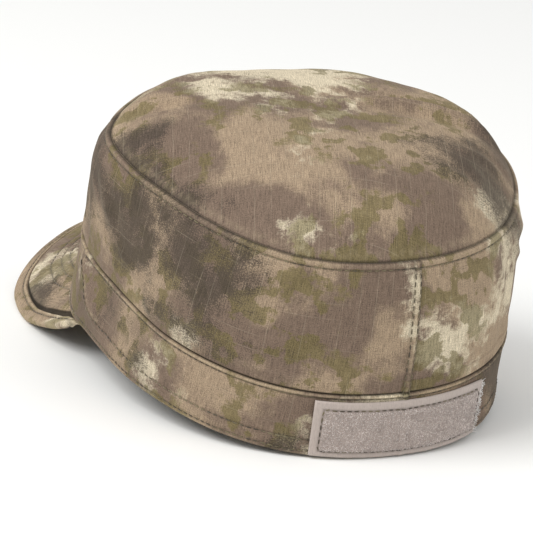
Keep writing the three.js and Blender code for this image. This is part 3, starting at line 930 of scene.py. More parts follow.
@dataclass
class Band:
    """The band round the head, with its hem below and its folded, topstitched edge above."""

    stations: int = 660
    length: float = 27.5
    ridge: float = 1.75
    ridge_swell: float = 0.6
    hem: float = 2.0
    beyond: float = 0.12
    pinch: tuple[float, ...] = (88.0, 99.0, 113.0, 122.0)
    drag: ClothNoise = ClothNoise(32, 9, 60, ROUND_MM)
    broad: ClothNoise = ClothNoise(37, 34, 24, ROUND_MM)
    hem_pucker: ClothNoise = ClothNoise(31, 6.2, 9, ROUND_MM)

    def hem_rise(self, bearing: np.ndarray) -> np.ndarray:
        """Where the hem's upper row of stitches runs, as a share of the band's height.

        Args:
            bearing: degrees round the head.

        Returns:
            Shares of the band's height.
        """
        away = np.abs(turned(bearing))
        keys, rises = np.array(HEM_ROW).T
        over = self.beyond * np.maximum(0, away - keys[-1])
        return np.interp(away, keys, rises) + over

    def pinched(self, bearing: np.ndarray) -> np.ndarray:
        """How firmly the band is pinched beside the peak.

        Args:
            bearing: degrees round the head.

        Returns:
            Values from 0 to 1.
        """
        away = np.abs(turned(bearing))
        start, firm, loose, end = self.pinch
        return ease(away, start, firm) * (1 - ease(away, loose, end))

    def push(self, bearing: np.ndarray, rise: np.ndarray) -> np.ndarray:
        """How far the outer face lies out of the plain wall, in millimetres.

        Args:
            bearing: degrees round the head.
            rise: shares of the way up.

        Returns:
            Values in millimetres.
        """
        arc, up = bearing / TURN * ROUND_MM, rise * self.length
        low, high = up, self.length - up
        to_hem = up - self.hem_rise(bearing) * self.length
        turn_under = -1.0 * (1 - np.sqrt(1 - np.clip(1 - low / 0.9, 0, 1) ** 2))
        crest = self.ridge_swell * np.sin(math.pi * np.clip((high + 0.4) / (self.ridge + 0.4), 0, 1)) ** 0.8
        roll = -1.3 * (1 - np.sqrt(1 - np.clip(1 - high / 0.8, 0, 1) ** 2))
        rows = -0.3 * bell(high - self.ridge - 0.2, 0.42) - 0.24 * bell(low - self.hem, 0.45)
        pinched = self.pinched(bearing)
        swell = np.where(to_hem > 0, bell(to_hem, 5), bell(to_hem, 2.4))
        fold = 2.0 * swell + 0.35 * bell(to_hem + 0.3, 0.7)
        rows = rows + pinched * fold * np.minimum(1, high / 4) - 0.26 * (1 - pinched) * bell(to_hem, 0.6)
        hem = 0.28 * (1 - ease(to_hem, -0.3, 1.0)) * ease(low, 0.2, 1.2) * (1 - pinched)
        gather = 0.3 * self.hem_pucker.at(arc, up) * bell(to_hem + 2, 3.2)
        wrinkle = 0.3 * self.drag.at(arc, up) * ease(high, 2, 6) + 0.4 * self.broad.at(arc, up)
        seam = BACK_SEAM.push(bearing) * ease(high, 0.3, 2)
        return turn_under + crest + roll + rows + hem + gather + wrinkle * ease(low, 0, 5) + seam

    def face(self, bearing: np.ndarray, rise: np.ndarray) -> np.ndarray:
        """Points of the outer face."""
        return FORM.wall(Seam.RIM, Seam.BAND, bearing, rise, self.push(bearing, rise))

    def lining_face(self, bearing: np.ndarray, rise: np.ndarray) -> np.ndarray:
        """Points of the inner face, thicker where the hem is turned up inside.

        Args:
            bearing: degrees round the head.
            rise: shares of the way up.

        Returns:
            Points in the cap's frame.
        """
        arc, up = bearing / TURN * ROUND_MM, rise * self.length
        inside = -FORM.band_cloth + 0.6 * ease(up, 8.6, 9.2) + 0.4 * self.broad.at(arc, up) * ease(up, 0, 5)
        return FORM.wall(Seam.RIM, Seam.BAND, bearing, rise, inside)

    def build(self) -> bpy.types.Object:
        """Makes the band.

        Returns:
            The object.
        """
        bearings = even_bearings(self.stations)
        rises = graded(self.length, 0.32, 0.85, 3.6)
        bearing, rise = np.meshgrid(bearings, rises, indexing="ij")
        outer = self.face(bearing, rise)
        inner = self.lining_face(bearing, rise)
        low, high = rise * self.length, (1 - rise) * self.length
        to_hem = low - self.hem_rise(bearing) * self.length
        # Painted shade: the colour darkens in the groove under the upper edge, along the hem rows and beside
        # the back seam, and on the turned-under face of the fold beside the peak.
        shade = ease(high, -0.05, 0.28) * (1 - 0.6 * bell(high - self.ridge - 0.2, 0.28))
        shade = shade * (1 - 0.3 * bell(low - self.hem, 0.3)) * (1 - 0.35 * bell(to_hem - 0.2, 0.3))
        shade = shade * (1 - BACK_SEAM.painted_shade_strength * BACK_SEAM.dark(bearing))
        pinched = self.pinched(bearing)
        shade = shade * (1 - 0.3 * pinched * (1 - ease(to_hem, -1.8, -0.5)) * ease(high, 1, 4))
        wear = bell(high - 0.9, 0.5) + 0.7 * bell(low, 0.7) + pinched * bell(to_hem - 1.0, 0.5)
        along = np.linspace(0, ROUND_MM, self.stations + 1) * FULLNESS
        return ClothGrid(
            "band_cloth",
            outer,
            inner,
            looped_pattern(along, rises * self.length),
            shade,
            wear,
            looped=True,
        ).build()

    def rows(self) -> list[StitchRow]:
        """The rows under the upper edge, at the hem and down the back seam.

        Returns:
            The rows.
        """
        bearing = np.arange(0, TURN, ROW_STEP)
        under_edge = np.full(bearing.shape, 1 - (self.ridge + 0.2) / self.length)
        found = [stitched(self.face, bearing, under_edge, closed=True)]
        at_hem = np.full(bearing.shape, self.hem / self.length)
        found.append(stitched(self.face, bearing, at_hem, closed=True))
        for side in (-1, 1):
            away = np.arange(0, HEM_ROW[-1][0], ROW_STEP) * side
            found.append(stitched(self.face, away, self.hem_rise(away)))
            rise = np.linspace(0.86, 0.985, 10)
            found.append(stitched(self.face, np.full(rise.shape, side * BACK_SEAM.row_turn), rise))
        return found


@dataclass
class Peak:
    """The stiff arched peak, its quilting rows and the strip that wraps its outer edge.

    Along runs from -1 to 1 across the peak, and share from its outer edge to its inner one, which is
    tucked under the band's foot.
    """

    width: float = 158.6
    reach: float = 58.0
    drop: float = 29.7
    half_spread: float = 69.0
    camber: float = 1.0
    tuck: float = 1.9
    pressed: float = 0.3
    thickness: float = 3.0
    margin_thickness: float = 1.2
    strip_width: float = 7.9
    strip_cloth: float = 0.9
    tab: float = 1.6
    corner_lift: float = 2.5
    corner_share: float = 0.3
    corner_tuck: float = 2.4
    across: int = 260
    quilt_rows: tuple[float, ...] = (11.6, 17.2, 21.6, 25.8, 30.0)
    strip_row: float = 2.5
    cloth_arc: float = 110.0
    strip_arc: float = 118.0
    rim_step: float = 0.6
    pucker: ClothNoise = ClothNoise(61, 6.5, 9)
    broad: ClothNoise = ClothNoise(67, 26, 22)

    @property
    def strip_top(self) -> float:
        """Half the whole thickness at the wrapped edge."""
        return self.margin_thickness / 2 + FORM.sewn_gap + self.strip_cloth

    def inner_edge(self, along: np.ndarray) -> np.ndarray:
        """Points of the inner edge, under the band.

        Args:
            along: -1 to 1 across the peak.

        Returns:
            Points in the cap's frame.
        """
        bearing = HALF + along * self.half_spread
        point = FORM.ring(Seam.RIM, bearing) - FORM.outward(Seam.RIM, bearing) * self.tuck
        near_corner = ease(np.abs(along), 0.8, 0.95)
        down = self.thickness / 2 - self.pressed + (self.strip_top - self.thickness / 2) * near_corner
        down = down - self.corner_lift * ease(np.abs(along), 0.9, 1.0)
        return point - down[..., None] * np.array([0, 0, 1.0])

    def outer_edge(self, along: np.ndarray) -> np.ndarray:
        """Points of the outer edge.

        Args:
            along: -1 to 1 across the peak.

        Returns:
            Points in the cap's frame.
        """
        foot = FORM.ring(Seam.RIM, HALF + along * self.half_spread)[..., 2]
        corner = FORM.ring(Seam.RIM, np.array(HALF - self.half_spread))[1]
        tip = FORM.ring(Seam.RIM, np.array(HALF))[1] - self.reach
        tucked = self.corner_tuck * ease(np.abs(along), 0.93, 1.0)
        x = -np.sign(along) * (PEAK_EDGE.at("side", along) * self.width / 2 - tucked)
        y = corner + (tip - corner) * PEAK_EDGE.at("ahead", along)
        z = foot - FORM.sewn_gap - self.strip_top - self.drop * PEAK_EDGE.at("drop", along)
        return np.stack([x, y, z + self.corner_lift * ease(np.abs(along), 0.84, 1.0)], axis=-1)

    def middle(self, along: np.ndarray, share: np.ndarray) -> np.ndarray:
        """Points of the surface midway through the peak's thickness.

        Args:
            along: -1 to 1 across the peak.
            share: shares of the way inwards from the edge.

        Returns:
            Points in the cap's frame.
        """
        start, end = self.outer_edge(along), self.inner_edge(along)
        length = np.linalg.norm(end - start, axis=-1)
        camber = self.camber * np.minimum(1, length / self.reach) * 4 * share * (1 - share)
        point = start + (end - start) * share[..., None]
        return point + camber[..., None] * np.array([0, 0, 1.0])

    def normal(self, along: np.ndarray, share: np.ndarray) -> np.ndarray:
        """The way up out of the peak.

        Args:
            along: -1 to 1 across the peak.
            share: shares of the way inwards from the edge.

        Returns:
            Unit vectors.
        """
        step = 0.01
        held, inner = np.clip(along, -1 + step, 1 - step), np.clip(share, step, 1 - step)
        return surface_normal(self.middle, held, inner, (step, step))

    def length(self, along: np.ndarray) -> np.ndarray:
        """How far it is from the outer edge to the inner edge, in millimetres."""
        return np.linalg.norm(self.inner_edge(along) - self.outer_edge(along), axis=-1)

    def strip_end(self, along: np.ndarray) -> np.ndarray:
        """Where the edge strip ends, in millimetres from the outer edge."""
        length = self.length(along)
        return np.minimum(self.strip_width, np.maximum(length - self.tab, 0.4 * length))

    def from_edge(self, points: np.ndarray) -> np.ndarray:
        """The distance of each point from the peak's outer edge, in millimetres.

        Args:
            points: points in the cap's frame.

        Returns:
            Values in millimetres.
        """
        edge = self.outer_edge(np.sin(np.linspace(-math.pi / 2, math.pi / 2, 361)))
        flat = points.reshape(-1, 3)
        batch = 4000
        found = [
            np.linalg.norm(flat[start : start + batch, None] - edge[None], axis=-1).min(1)
            for start in range(0, len(flat), batch)
        ]
        return np.concatenate(found).reshape(points.shape[:-1])

    def quilt(self, inside: np.ndarray) -> np.ndarray:
        """How the cloth swells between the quilting rows, at distances from the groove.

        Args:
            inside: millimetres inwards from the strip's groove.

        Returns:
            Values in millimetres.
        """
        dimples = sum(bell(inside - row, 0.75) for row in self.quilt_rows)
        swell = 0.3 * ease(inside, 9, 14)
        return swell - 0.55 * dimples

    def cloth_height(self, along: np.ndarray, share: np.ndarray, edge_distance: np.ndarray) -> np.ndarray:
        """How far the peak's cloth lies above its middle surface.

        Args:
            along: -1 to 1 across the peak.
            share: shares of the way inwards from the edge; not used.
            edge_distance: millimetres from the outer edge.

        Returns:
            Values in millimetres.
        """
        inside = edge_distance - self.strip_end(along)
        shoulder = ease(inside, -0.3, 0.7)
        body = self.margin_thickness / 2 + self.rim_step * ease(inside, -0.15, 0.2)
        body = body + (self.thickness / 2 - self.margin_thickness / 2 - self.rim_step) * shoulder
        arc, inwards = along * self.cloth_arc, edge_distance
        lumps = 0.22 * self.broad.at(arc, inwards)
        lumps = lumps + 0.2 * self.pucker.at(arc, inwards) * bell(inside - 1.5, 3)
        return body + 0.15 * bell(inside - 2.6, 1.2) + (self.quilt(inside) + lumps) * shoulder

    def grid(self, along: np.ndarray, places: np.ndarray, height: np.ndarray) -> np.ndarray:
        """Points at some millimetres from the outer edge and some height above the middle surface.

        Args:
            along: -1 to 1 across the peak.
            places: millimetres from the outer edge.
            height: millimetres above the middle surface.

        Returns:
            Points in the cap's frame.
        """
        share = places / self.length(along)
        thinned = height * (1 - (1 - self.corner_share) * ease(np.abs(along), 0.95, 1.0))
        return self.middle(along, share) + self.normal(along, share) * thinned[..., None]

    def build_cloth(self) -> bpy.types.Object:
        """Makes the peak's cloth, over its board.

        Returns:
            The object.
        """
        along = np.sin(np.linspace(-math.pi / 2, math.pi / 2, self.across + 1))
        start = self.strip_cloth + FORM.sewn_gap
        near = np.array([0.0, 0.35, 0.7, 1.05, 1.4, 1.8, 2.3, 2.9])
        end = (self.length(along) - self.strip_end(along))[:, None]
        spread = near[-1] + (end - near[-1]) * np.linspace(0, 1, 56)[None, 1:]
        held = np.broadcast_to(near, (len(along), len(near))) * np.minimum(1, end / 4)
        inside = np.maximum.accumulate(np.concatenate([held, spread], axis=1), axis=1)
        first = np.full((len(along), 1), start)
        places = np.concatenate([first, inside + self.strip_end(along)[:, None]], axis=1)
        station = np.broadcast_to(along[:, None], places.shape)
        share = places / self.length(station)
        distance = self.from_edge(self.middle(station, share))
        distance = np.where(places < self.strip_end(station) + 0.1, places, distance)
        up = self.cloth_height(station, share, distance)
        under = -self.margin_thickness / 2 - (up - self.margin_thickness / 2) * 0.9
        outer = self.grid(station, places, up)
        inner = self.grid(station, places, under)
        groove = distance - self.strip_end(station)
        rows = sum(bell(groove - row, 0.55) for row in self.quilt_rows)
        # Painted shade: the colour darkens in the groove beside the strip and along the quilting rows.
        shade = ease(groove, 0.0, 0.6) * (1 - 0.4 * rows)
        wear = 0.4 * bell(groove - 1.8, 0.8)
        return ClothGrid(
            "peak_cloth", outer, inner, outer[..., :2] * FULLNESS, shade, wear, both_printed=True
        ).build()

    def strip_height(self, along: np.ndarray, place: np.ndarray) -> np.ndarray:
        """How far the strip's outer face lies from the middle surface.

        Args:
            along: -1 to 1 across the peak.
            place: millimetres from the outer edge.

        Returns:
            Values in millimetres.
        """
        end = self.strip_end(along)
        inward = end - place
        full = ease(end, 2.0, 6.0)
        top = self.strip_top - 0.15
        roll = -0.85 * (1 - np.sqrt(1 - np.clip(1 - inward / 0.5, 0, 1) ** 2))
        swell = 0.25 * bell(inward - 1.0, 0.6) + 0.2 * bell(place - 2.6, 1.4)
        sewn = -0.3 * bell(inward - self.strip_row, 0.45)
        arc = along * self.cloth_arc
        gather = 0.2 * self.pucker.at(arc * 1.3, place) * ease(place, 0.5, 2)
        edge = -top * (1 - np.sqrt(1 - np.clip(1 - place / 1.7, 0, 1) ** 2))
        return (top + edge) * (0.72 + 0.28 * full) + (roll + swell + sewn + gather) * full

    def build_strip(self) -> bpy.types.Object:
        """Makes the strip that wraps the outer edge.

        Returns:
            The object.
        """
        along = np.sin(np.linspace(-math.pi / 2, math.pi / 2, self.across + 1))
        end = self.strip_end(along)[:, None]
        shares = np.concatenate([[0.0, 0.012, 0.03, 0.06, 0.1, 0.15, 0.21], np.linspace(0.28, 1, 26)])
        place = end * shares[None, :]
        station = np.broadcast_to(along[:, None], place.shape)
        up = self.strip_height(station, place)
        puffed = place - 0.7 * (1 - ease(place, 0, 3.2)) * ease(end, 2.0, 6.0)
        over = self.grid(station, puffed, up)
        below = self.grid(station, puffed, -up)
        outer = np.concatenate([below[:, ::-1], over[:, 1:]], axis=1)
        inside = np.maximum(place, self.strip_cloth)
        gap = np.full(place.shape, self.margin_thickness / 2 + 0.12)
        gap = gap * np.minimum(1, shares / 0.08)[None, :]
        inner = np.concatenate(
            [self.grid(station, inside, -gap)[:, ::-1], self.grid(station, inside, gap)[:, 1:]], axis=1
        )
        arc = along * self.strip_arc
        across = np.concatenate([-shares[::-1], shares[1:]]) * self.strip_width
        pattern = np.stack(np.broadcast_arrays(arc[:, None], across[None, :]), axis=-1)
        inward = np.concatenate([(end - place)[:, ::-1], (end - place)[:, 1:]], axis=1)
        edge = np.concatenate([place[:, ::-1], place[:, 1:]], axis=1)
        # Painted shade: the colour darkens at the strip's inner edge, where it meets the groove, and along
        # its row of stitches.
        shade = ease(inward, -0.3, 0.5) * (1 - 0.4 * bell(inward - self.strip_row, 0.45))
        wear = 0.8 * bell(edge, 0.9) + 0.7 * bell(inward - 1.0, 0.6)
        return ClothGrid("peak_edge_strip_cloth", outer, inner, pattern, shade, wear).build()

    def rows(self) -> list[StitchRow]:
        """The strip's row and the quilting rows, above and below.

        Returns:
            The rows.
        """
        found = []
        along = np.linspace(-0.985, 0.985, 700)
        place = self.strip_end(along) - self.strip_row
        kept = self.strip_end(along) > 4.5
        for side in (1, -1):
            height = self.strip_height(along, place) * side
            points = self.grid(along, place, height)[kept]
            found.append(StitchRow(points, self.normal(along, place / self.length(along))[kept] * side))
        shares = np.linspace(0.05, 1, 160)
        station, share = np.meshgrid(along, shares, indexing="ij")
        distance = self.from_edge(self.middle(station, share))
        for row in self.quilt_rows:
            target = row + self.strip_width
            over = distance > target
            reached = over.any(axis=1)
            first = np.clip(over.argmax(axis=1), 1, None)
            index = np.arange(len(along))
            low, high = distance[index, first - 1], distance[index, first]
            part = shares[first - 1] + (shares[first] - shares[first - 1]) * (target - low) / (high - low)
            where, part = along[reached], part[reached]
            places = part * self.length(where)
            height = self.cloth_height(where, part, np.full(where.shape, target))
            for side in (1, -1):
                points = self.grid(where, places, height * side)
                found.append(StitchRow(points, self.normal(where, part) * side))
        return found


@dataclass
class NamePanel:
    """The loop panel on the back of the band: a woven border round a field of pile."""

    length: float = 84.0
    shift: float = -4.2
    rise: float = 0.75
    height: float = 22.0
    left_border: float = 3.7
    right_border: float = 4.0
    top_border: float = 3.3
    bottom_border: float = 2.2
    tape: float = 0.9
    pile: float = 1.5
    right_lean: float = 5.9
    left_lean: float = 1.5
    right_sink: float = 1.4
    radius: float = 104.25
    standoff: float = 0.55
    waver: ClothNoise = ClothNoise(83, 9, 9)

    def spot(self, along: np.ndarray, up: np.ndarray) -> tuple[np.ndarray, np.ndarray]:
        """Turns millimetres on the panel into a bearing and a rise.

        Args:
            along: millimetres from the panel's middle, towards the wearer's left.
            up: millimetres above its lower edge.

        Returns:
            The bearing and the rise on the band. Both ends lean outwards towards their tops.
        """
        right = np.clip(-along / (self.length / 2), 0, 1) ** 4
        left = np.clip(along / (self.length / 2), 0, 1) ** 6
        share = up / self.height
        right_lean = self.right_lean * right * (share - 0.85)
        left_lean = self.left_lean * left * (share - 0.6)
        slanted = along + self.shift - right_lean + left_lean
        side = FORM.ring(Seam.BAND, np.array(0.0))[2]
        return np.degrees(slanted / self.radius), (self.rise + up - self.right_sink * right * share) / side

    def face(self, along: np.ndarray, up: np.ndarray, proud: np.ndarray) -> np.ndarray:
        """Points at some height above the plain band.

        Args:
            along: millimetres from the panel's middle, towards the wearer's left.
            up: millimetres above its lower edge.
            proud: millimetres above the plain band.

        Returns:
            Points in the cap's frame.
        """
        bearing, rise = self.spot(along, up)
        smooth = 0.35 * BACK_SEAM.push(bearing)
        return FORM.wall(Seam.RIM, Seam.BAND, bearing, rise, self.standoff + smooth + proud)

    def inward(self, along: np.ndarray, up: np.ndarray) -> np.ndarray:
        """How far a place lies inside the line of stitches, in millimetres.

        Args:
            along: millimetres from the panel's middle, towards the wearer's left.
            up: millimetres above its lower edge.

        Returns:
            Values in millimetres.
        """
        left = self.length / 2 - along - self.left_border
        right = self.length / 2 + along - self.right_border
        over, under = self.height - up - self.top_border, up - self.bottom_border
        return np.minimum(np.minimum(left, right), np.minimum(over, under))

    def proud(self, along: np.ndarray, up: np.ndarray) -> np.ndarray:
        """How far the panel's face lies above the band.

        Args:
            along: millimetres from the panel's middle, towards the wearer's left.
            up: millimetres above its lower edge.

        Returns:
            Values in millimetres.
        """
        inward = self.inward(along, up)
        rim = np.minimum(self.length / 2 - np.abs(along), np.minimum(up, self.height - up))
        lift = (self.pile - self.tape) * ease(inward, -0.1, 0.8)
        sewn = -0.35 * bell(inward, 0.4)
        edge = -0.5 * (1 - ease(rim, -0.1, 0.5))
        buckle = 0.12 * self.waver.at(along * 1.7, up * 1.7) * (1 - ease(inward, -0.5, 0.5))
        return self.tape + lift + sewn + edge + buckle

    def build(self) -> bpy.types.Object:
        """Makes the panel.

        Returns:
            The object.
        """
        along = np.linspace(-self.length / 2, self.length / 2, 220)
        up = np.linspace(0, self.height, 70)
        first, second = np.meshgrid(along, up, indexing="ij")
        outer = self.face(first, second, self.proud(first, second))
        inner = self.face(first, second, np.full(first.shape, 0.1))
        inward = self.inward(first, second)
        # Painted shade: the colour darkens along the sunk line of stitches round the border.
        shade = 1 - 0.45 * bell(inward, 0.35)
        wear = ease(inward, -0.2, 0.3)
        pattern = np.stack([first, second], axis=-1)
        return ClothGrid("name_panel_tape", outer, inner, pattern, shade, wear).build()

    def rows(self) -> list[StitchRow]:
        """The row that runs once round inside the border, and a second one at the cut end.

        Returns:
            The rows.
        """
        left, right = self.length / 2 - self.left_border, -self.length / 2 + self.right_border
        low, high = self.bottom_border, self.height - self.top_border
        corners = ((right, low), (left, low), (left, high), (right, high), (right, low))
        found = [self.row(corners, True)]
        outside = right - 1.6
        cut = ((right, high), (outside, high - 0.8), (outside, low + 0.8), (right, low))
        found.append(self.row(cut, False))
        return found

    def row(self, corners: tuple[tuple[float, float], ...], closed: bool) -> StitchRow:
        """One row of stitches through some corners, sewn a little unevenly.

        Args:
            corners: the corners, in millimetres along and up the panel.
            closed: whether the row meets its own start.

        Returns:
            The row.
        """
        path = []
        for start, end in zip(corners[:-1], corners[1:]):
            steps = max(2, round(math.dist(start, end) / 0.6))
            path.append(np.linspace(start, end, steps, endpoint=False))
        spots = np.concatenate(path)
        sideways, upright = spots.T
        uneven = [self.waver.at(upright, sideways), self.waver.at(sideways, upright)]
        spots = spots + 0.3 * np.stack(uneven, axis=-1)
        along, up = spots.T
        points = self.face(along, up, self.proud(along, up))
        return StitchRow(points, surface_normal(self.flat, along, up, (0.3, 0.3)), closed)

    def flat(self, along: np.ndarray, up: np.ndarray) -> np.ndarray:
        """Points of the panel's tape, with nothing on it."""
        return self.face(along, up, np.full(np.shape(along), self.tape))

    def sheet(
        self, name: str, along: Span, up: Span, steps: tuple[int, int], proud: float
    ) -> bpy.types.Object:
        """A part of the panel's face as a bare sheet, to scatter fibres on.

        Args:
            name: the sheet's name.
            along: where it starts and ends along the panel, in millimetres.
            up: where it starts and ends up the panel.
            steps: how many points it has each way.
            proud: its height above the band.

        Returns:
            The sheet.
        """
        spaced = np.linspace(*along, steps[0]), np.linspace(*up, steps[1])
        first, second = np.meshgrid(*spaced, indexing="ij")
        points = REST.place(self.face(first, second, np.full(first.shape, proud)).reshape(-1, 3))
        columns = steps[1]
        faces = [
            (start, start + 1, start + columns + 1, start + columns)
            for row in range(steps[0] - 1)
            for start in range(row * columns, (row + 1) * columns - 1)
        ]
        return plain_mesh(name, points, [], faces)

    def grow_pile(self, finish: bpy.types.Material, tree: "RepeatTree") -> bpy.types.Object:
        """Covers the field with small loops.

        Args:
            finish: the pile's material.
            tree: scatters a shape over a surface.

        Returns:
            The loops as one piece.
        """
        angle = np.linspace(0, math.pi, 6)
        path = np.stack([0.38 * np.cos(angle), 0 * angle, 0.72 * np.sin(angle) - 0.12], axis=-1)
        loop = bent_tube("single_loop", path, np.full(6, 0.11), 4)
        half = self.length / 2
        sheet = self.sheet(
            "pile_field",
            (-half + self.right_border + 0.5, half - self.left_border - 0.5),
            (self.bottom_border + 0.5, self.height - self.top_border - 0.5),
            (120, 24),
            self.pile - 0.25,
        )
        inputs = {"Shape": loop, "Spacing": 0.44 * MM, "Spin": math.pi, "Tilt": 0.5}
        inputs |= {"Least Scale": 0.6, "Seed": 5, "Finish": finish}
        piece = tree.repeat("name_panel_pile", sheet, inputs)
        bpy.data.objects.remove(loop)
        return piece

    def fray(self, finish: bpy.types.Material, tree: "RepeatTree") -> bpy.types.Object:
        """Loosens pale fibres from the cut end.

        Args:
            finish: the fibres' material.
            tree: scatters a shape over a surface.

        Returns:
            The fibres as one piece.
        """
        share = np.linspace(0, 1, 5)
        path = np.stack([0.9 * share**2, 0 * share, 1.9 * share - 0.2], axis=-1)
        fibre = bent_tube("single_fibre", path, 0.14 - 0.08 * share, 4)
        half = self.length / 2
        along, up = (-half - 0.2, -half + 1.3), (0.2, self.height - 0.2)
        sheet = self.sheet("cut_end", along, up, (4, 30), self.tape - 0.1)
        inputs = {"Shape": fibre, "Spacing": 0.28 * MM, "Spin": math.pi, "Tilt": 1.35}
        inputs |= {"Least Scale": 0.45, "Seed": 9, "Finish": finish}
        piece = tree.repeat("name_panel_fray", sheet, inputs)
        bpy.data.objects.remove(fibre)
        return piece


def linear(code: str) -> Colour:
    """Turns an sRGB colour code, such as #a2907b, into the linear colour that a node takes.

    Args:
        code: the code.

    Returns:
        Red, green, blue and alpha.
    """
    parts = [int(code[place : place + 2], 16) / 255 for place in (1, 3, 5)]
    bent = [part / 12.92 if part <= 0.04045 else ((part + 0.055) / 1.055) ** 2.4 for part in parts]
    return (*bent, 1.0)


class NodeBoard:
    """Adds nodes to one node tree and wires them up."""

    def __init__(self, tree: bpy.types.NodeTree) -> None:
        """Keeps the tree, emptied."""
        self.tree = tree
        tree.nodes.clear()

    def add(
        self, kind: str, inputs: dict[str | int, object] | None = None, **settings: object
    ) -> bpy.types.Node:
        """Adds one node.

        Args:
            kind: the node's type name.
            inputs: values or output sockets, by input name or number.
            settings: the node's own properties.

        Returns:
            The node.
        """
        node = self.tree.nodes.new(kind)
        for name, value in settings.items():
            setattr(node, name, value)
        for name, value in (inputs or {}).items():
            if isinstance(value, Socket):
                self.tree.links.new(value, node.inputs[name])
            else:
                node.inputs[name].default_value = value
        return node

    def maths(self, operation: str, *values: Socket | float) -> Socket:
        """One sum on one to three values."""
        return self.add("ShaderNodeMath", dict(enumerate(values)), operation=operation).outputs[0]

    def step(self, value: Socket, low: float, high: float) -> Socket:
        """A smooth step from 0 at low to 1 at high."""
        inputs = {"Value": value, "From Min": low, "From Max": high}
        return self.add("ShaderNodeMapRange", inputs, interpolation_type="SMOOTHSTEP").outputs[0]

    def noise(
        self, vector: Socket, size: float, detail: float = 2.0, rough: float = 0.5
    ) -> Socket:
        """Noise with features of some size, in the vector's units."""
        inputs = {"Vector": vector, "Scale": 1 / size, "Detail": detail, "Roughness": rough}
        return self.add("ShaderNodeTexNoise", inputs).outputs["Fac"]

    def mapped(
        self, vector: Socket, place: Place = (0, 0, 0), turn: float = 0.0, scale: Place = (1, 1, 1)
    ) -> Socket:
        """Moves coordinates, turns them in their plane and scales them.

        Args:
            vector: the coordinates.
            place: how far they are moved.
            turn: how far they are turned, in degrees.
            scale: how they are scaled.

        Returns:
            The new coordinates.
        """
        spin = (0, 0, math.radians(turn))
        inputs = {"Vector": vector, "Location": place, "Rotation": spin, "Scale": scale}
        return self.add("ShaderNodeMapping", inputs).outputs[0]

    def mix(
        self, share: Socket | float, first: Socket | Colour, second: Socket | Colour, blend: str = "MIX"
    ) -> Socket:
        """Mixes two colours, or blends the second onto the first."""
        inputs = {0: share, 6: first, 7: second}
        return self.add("ShaderNodeMix", inputs, data_type="RGBA", blend_type=blend).outputs[2]


class PrintTone(Enum):
    """The inks of the cloth's print."""

    TAUPE = "#705f52"
    TAN = "#96836d"
    SAND = "#cabea5"
    OLIVE = "#645b35"
    DARK = "#433a33"
    REVERSE = "#b0a18a"


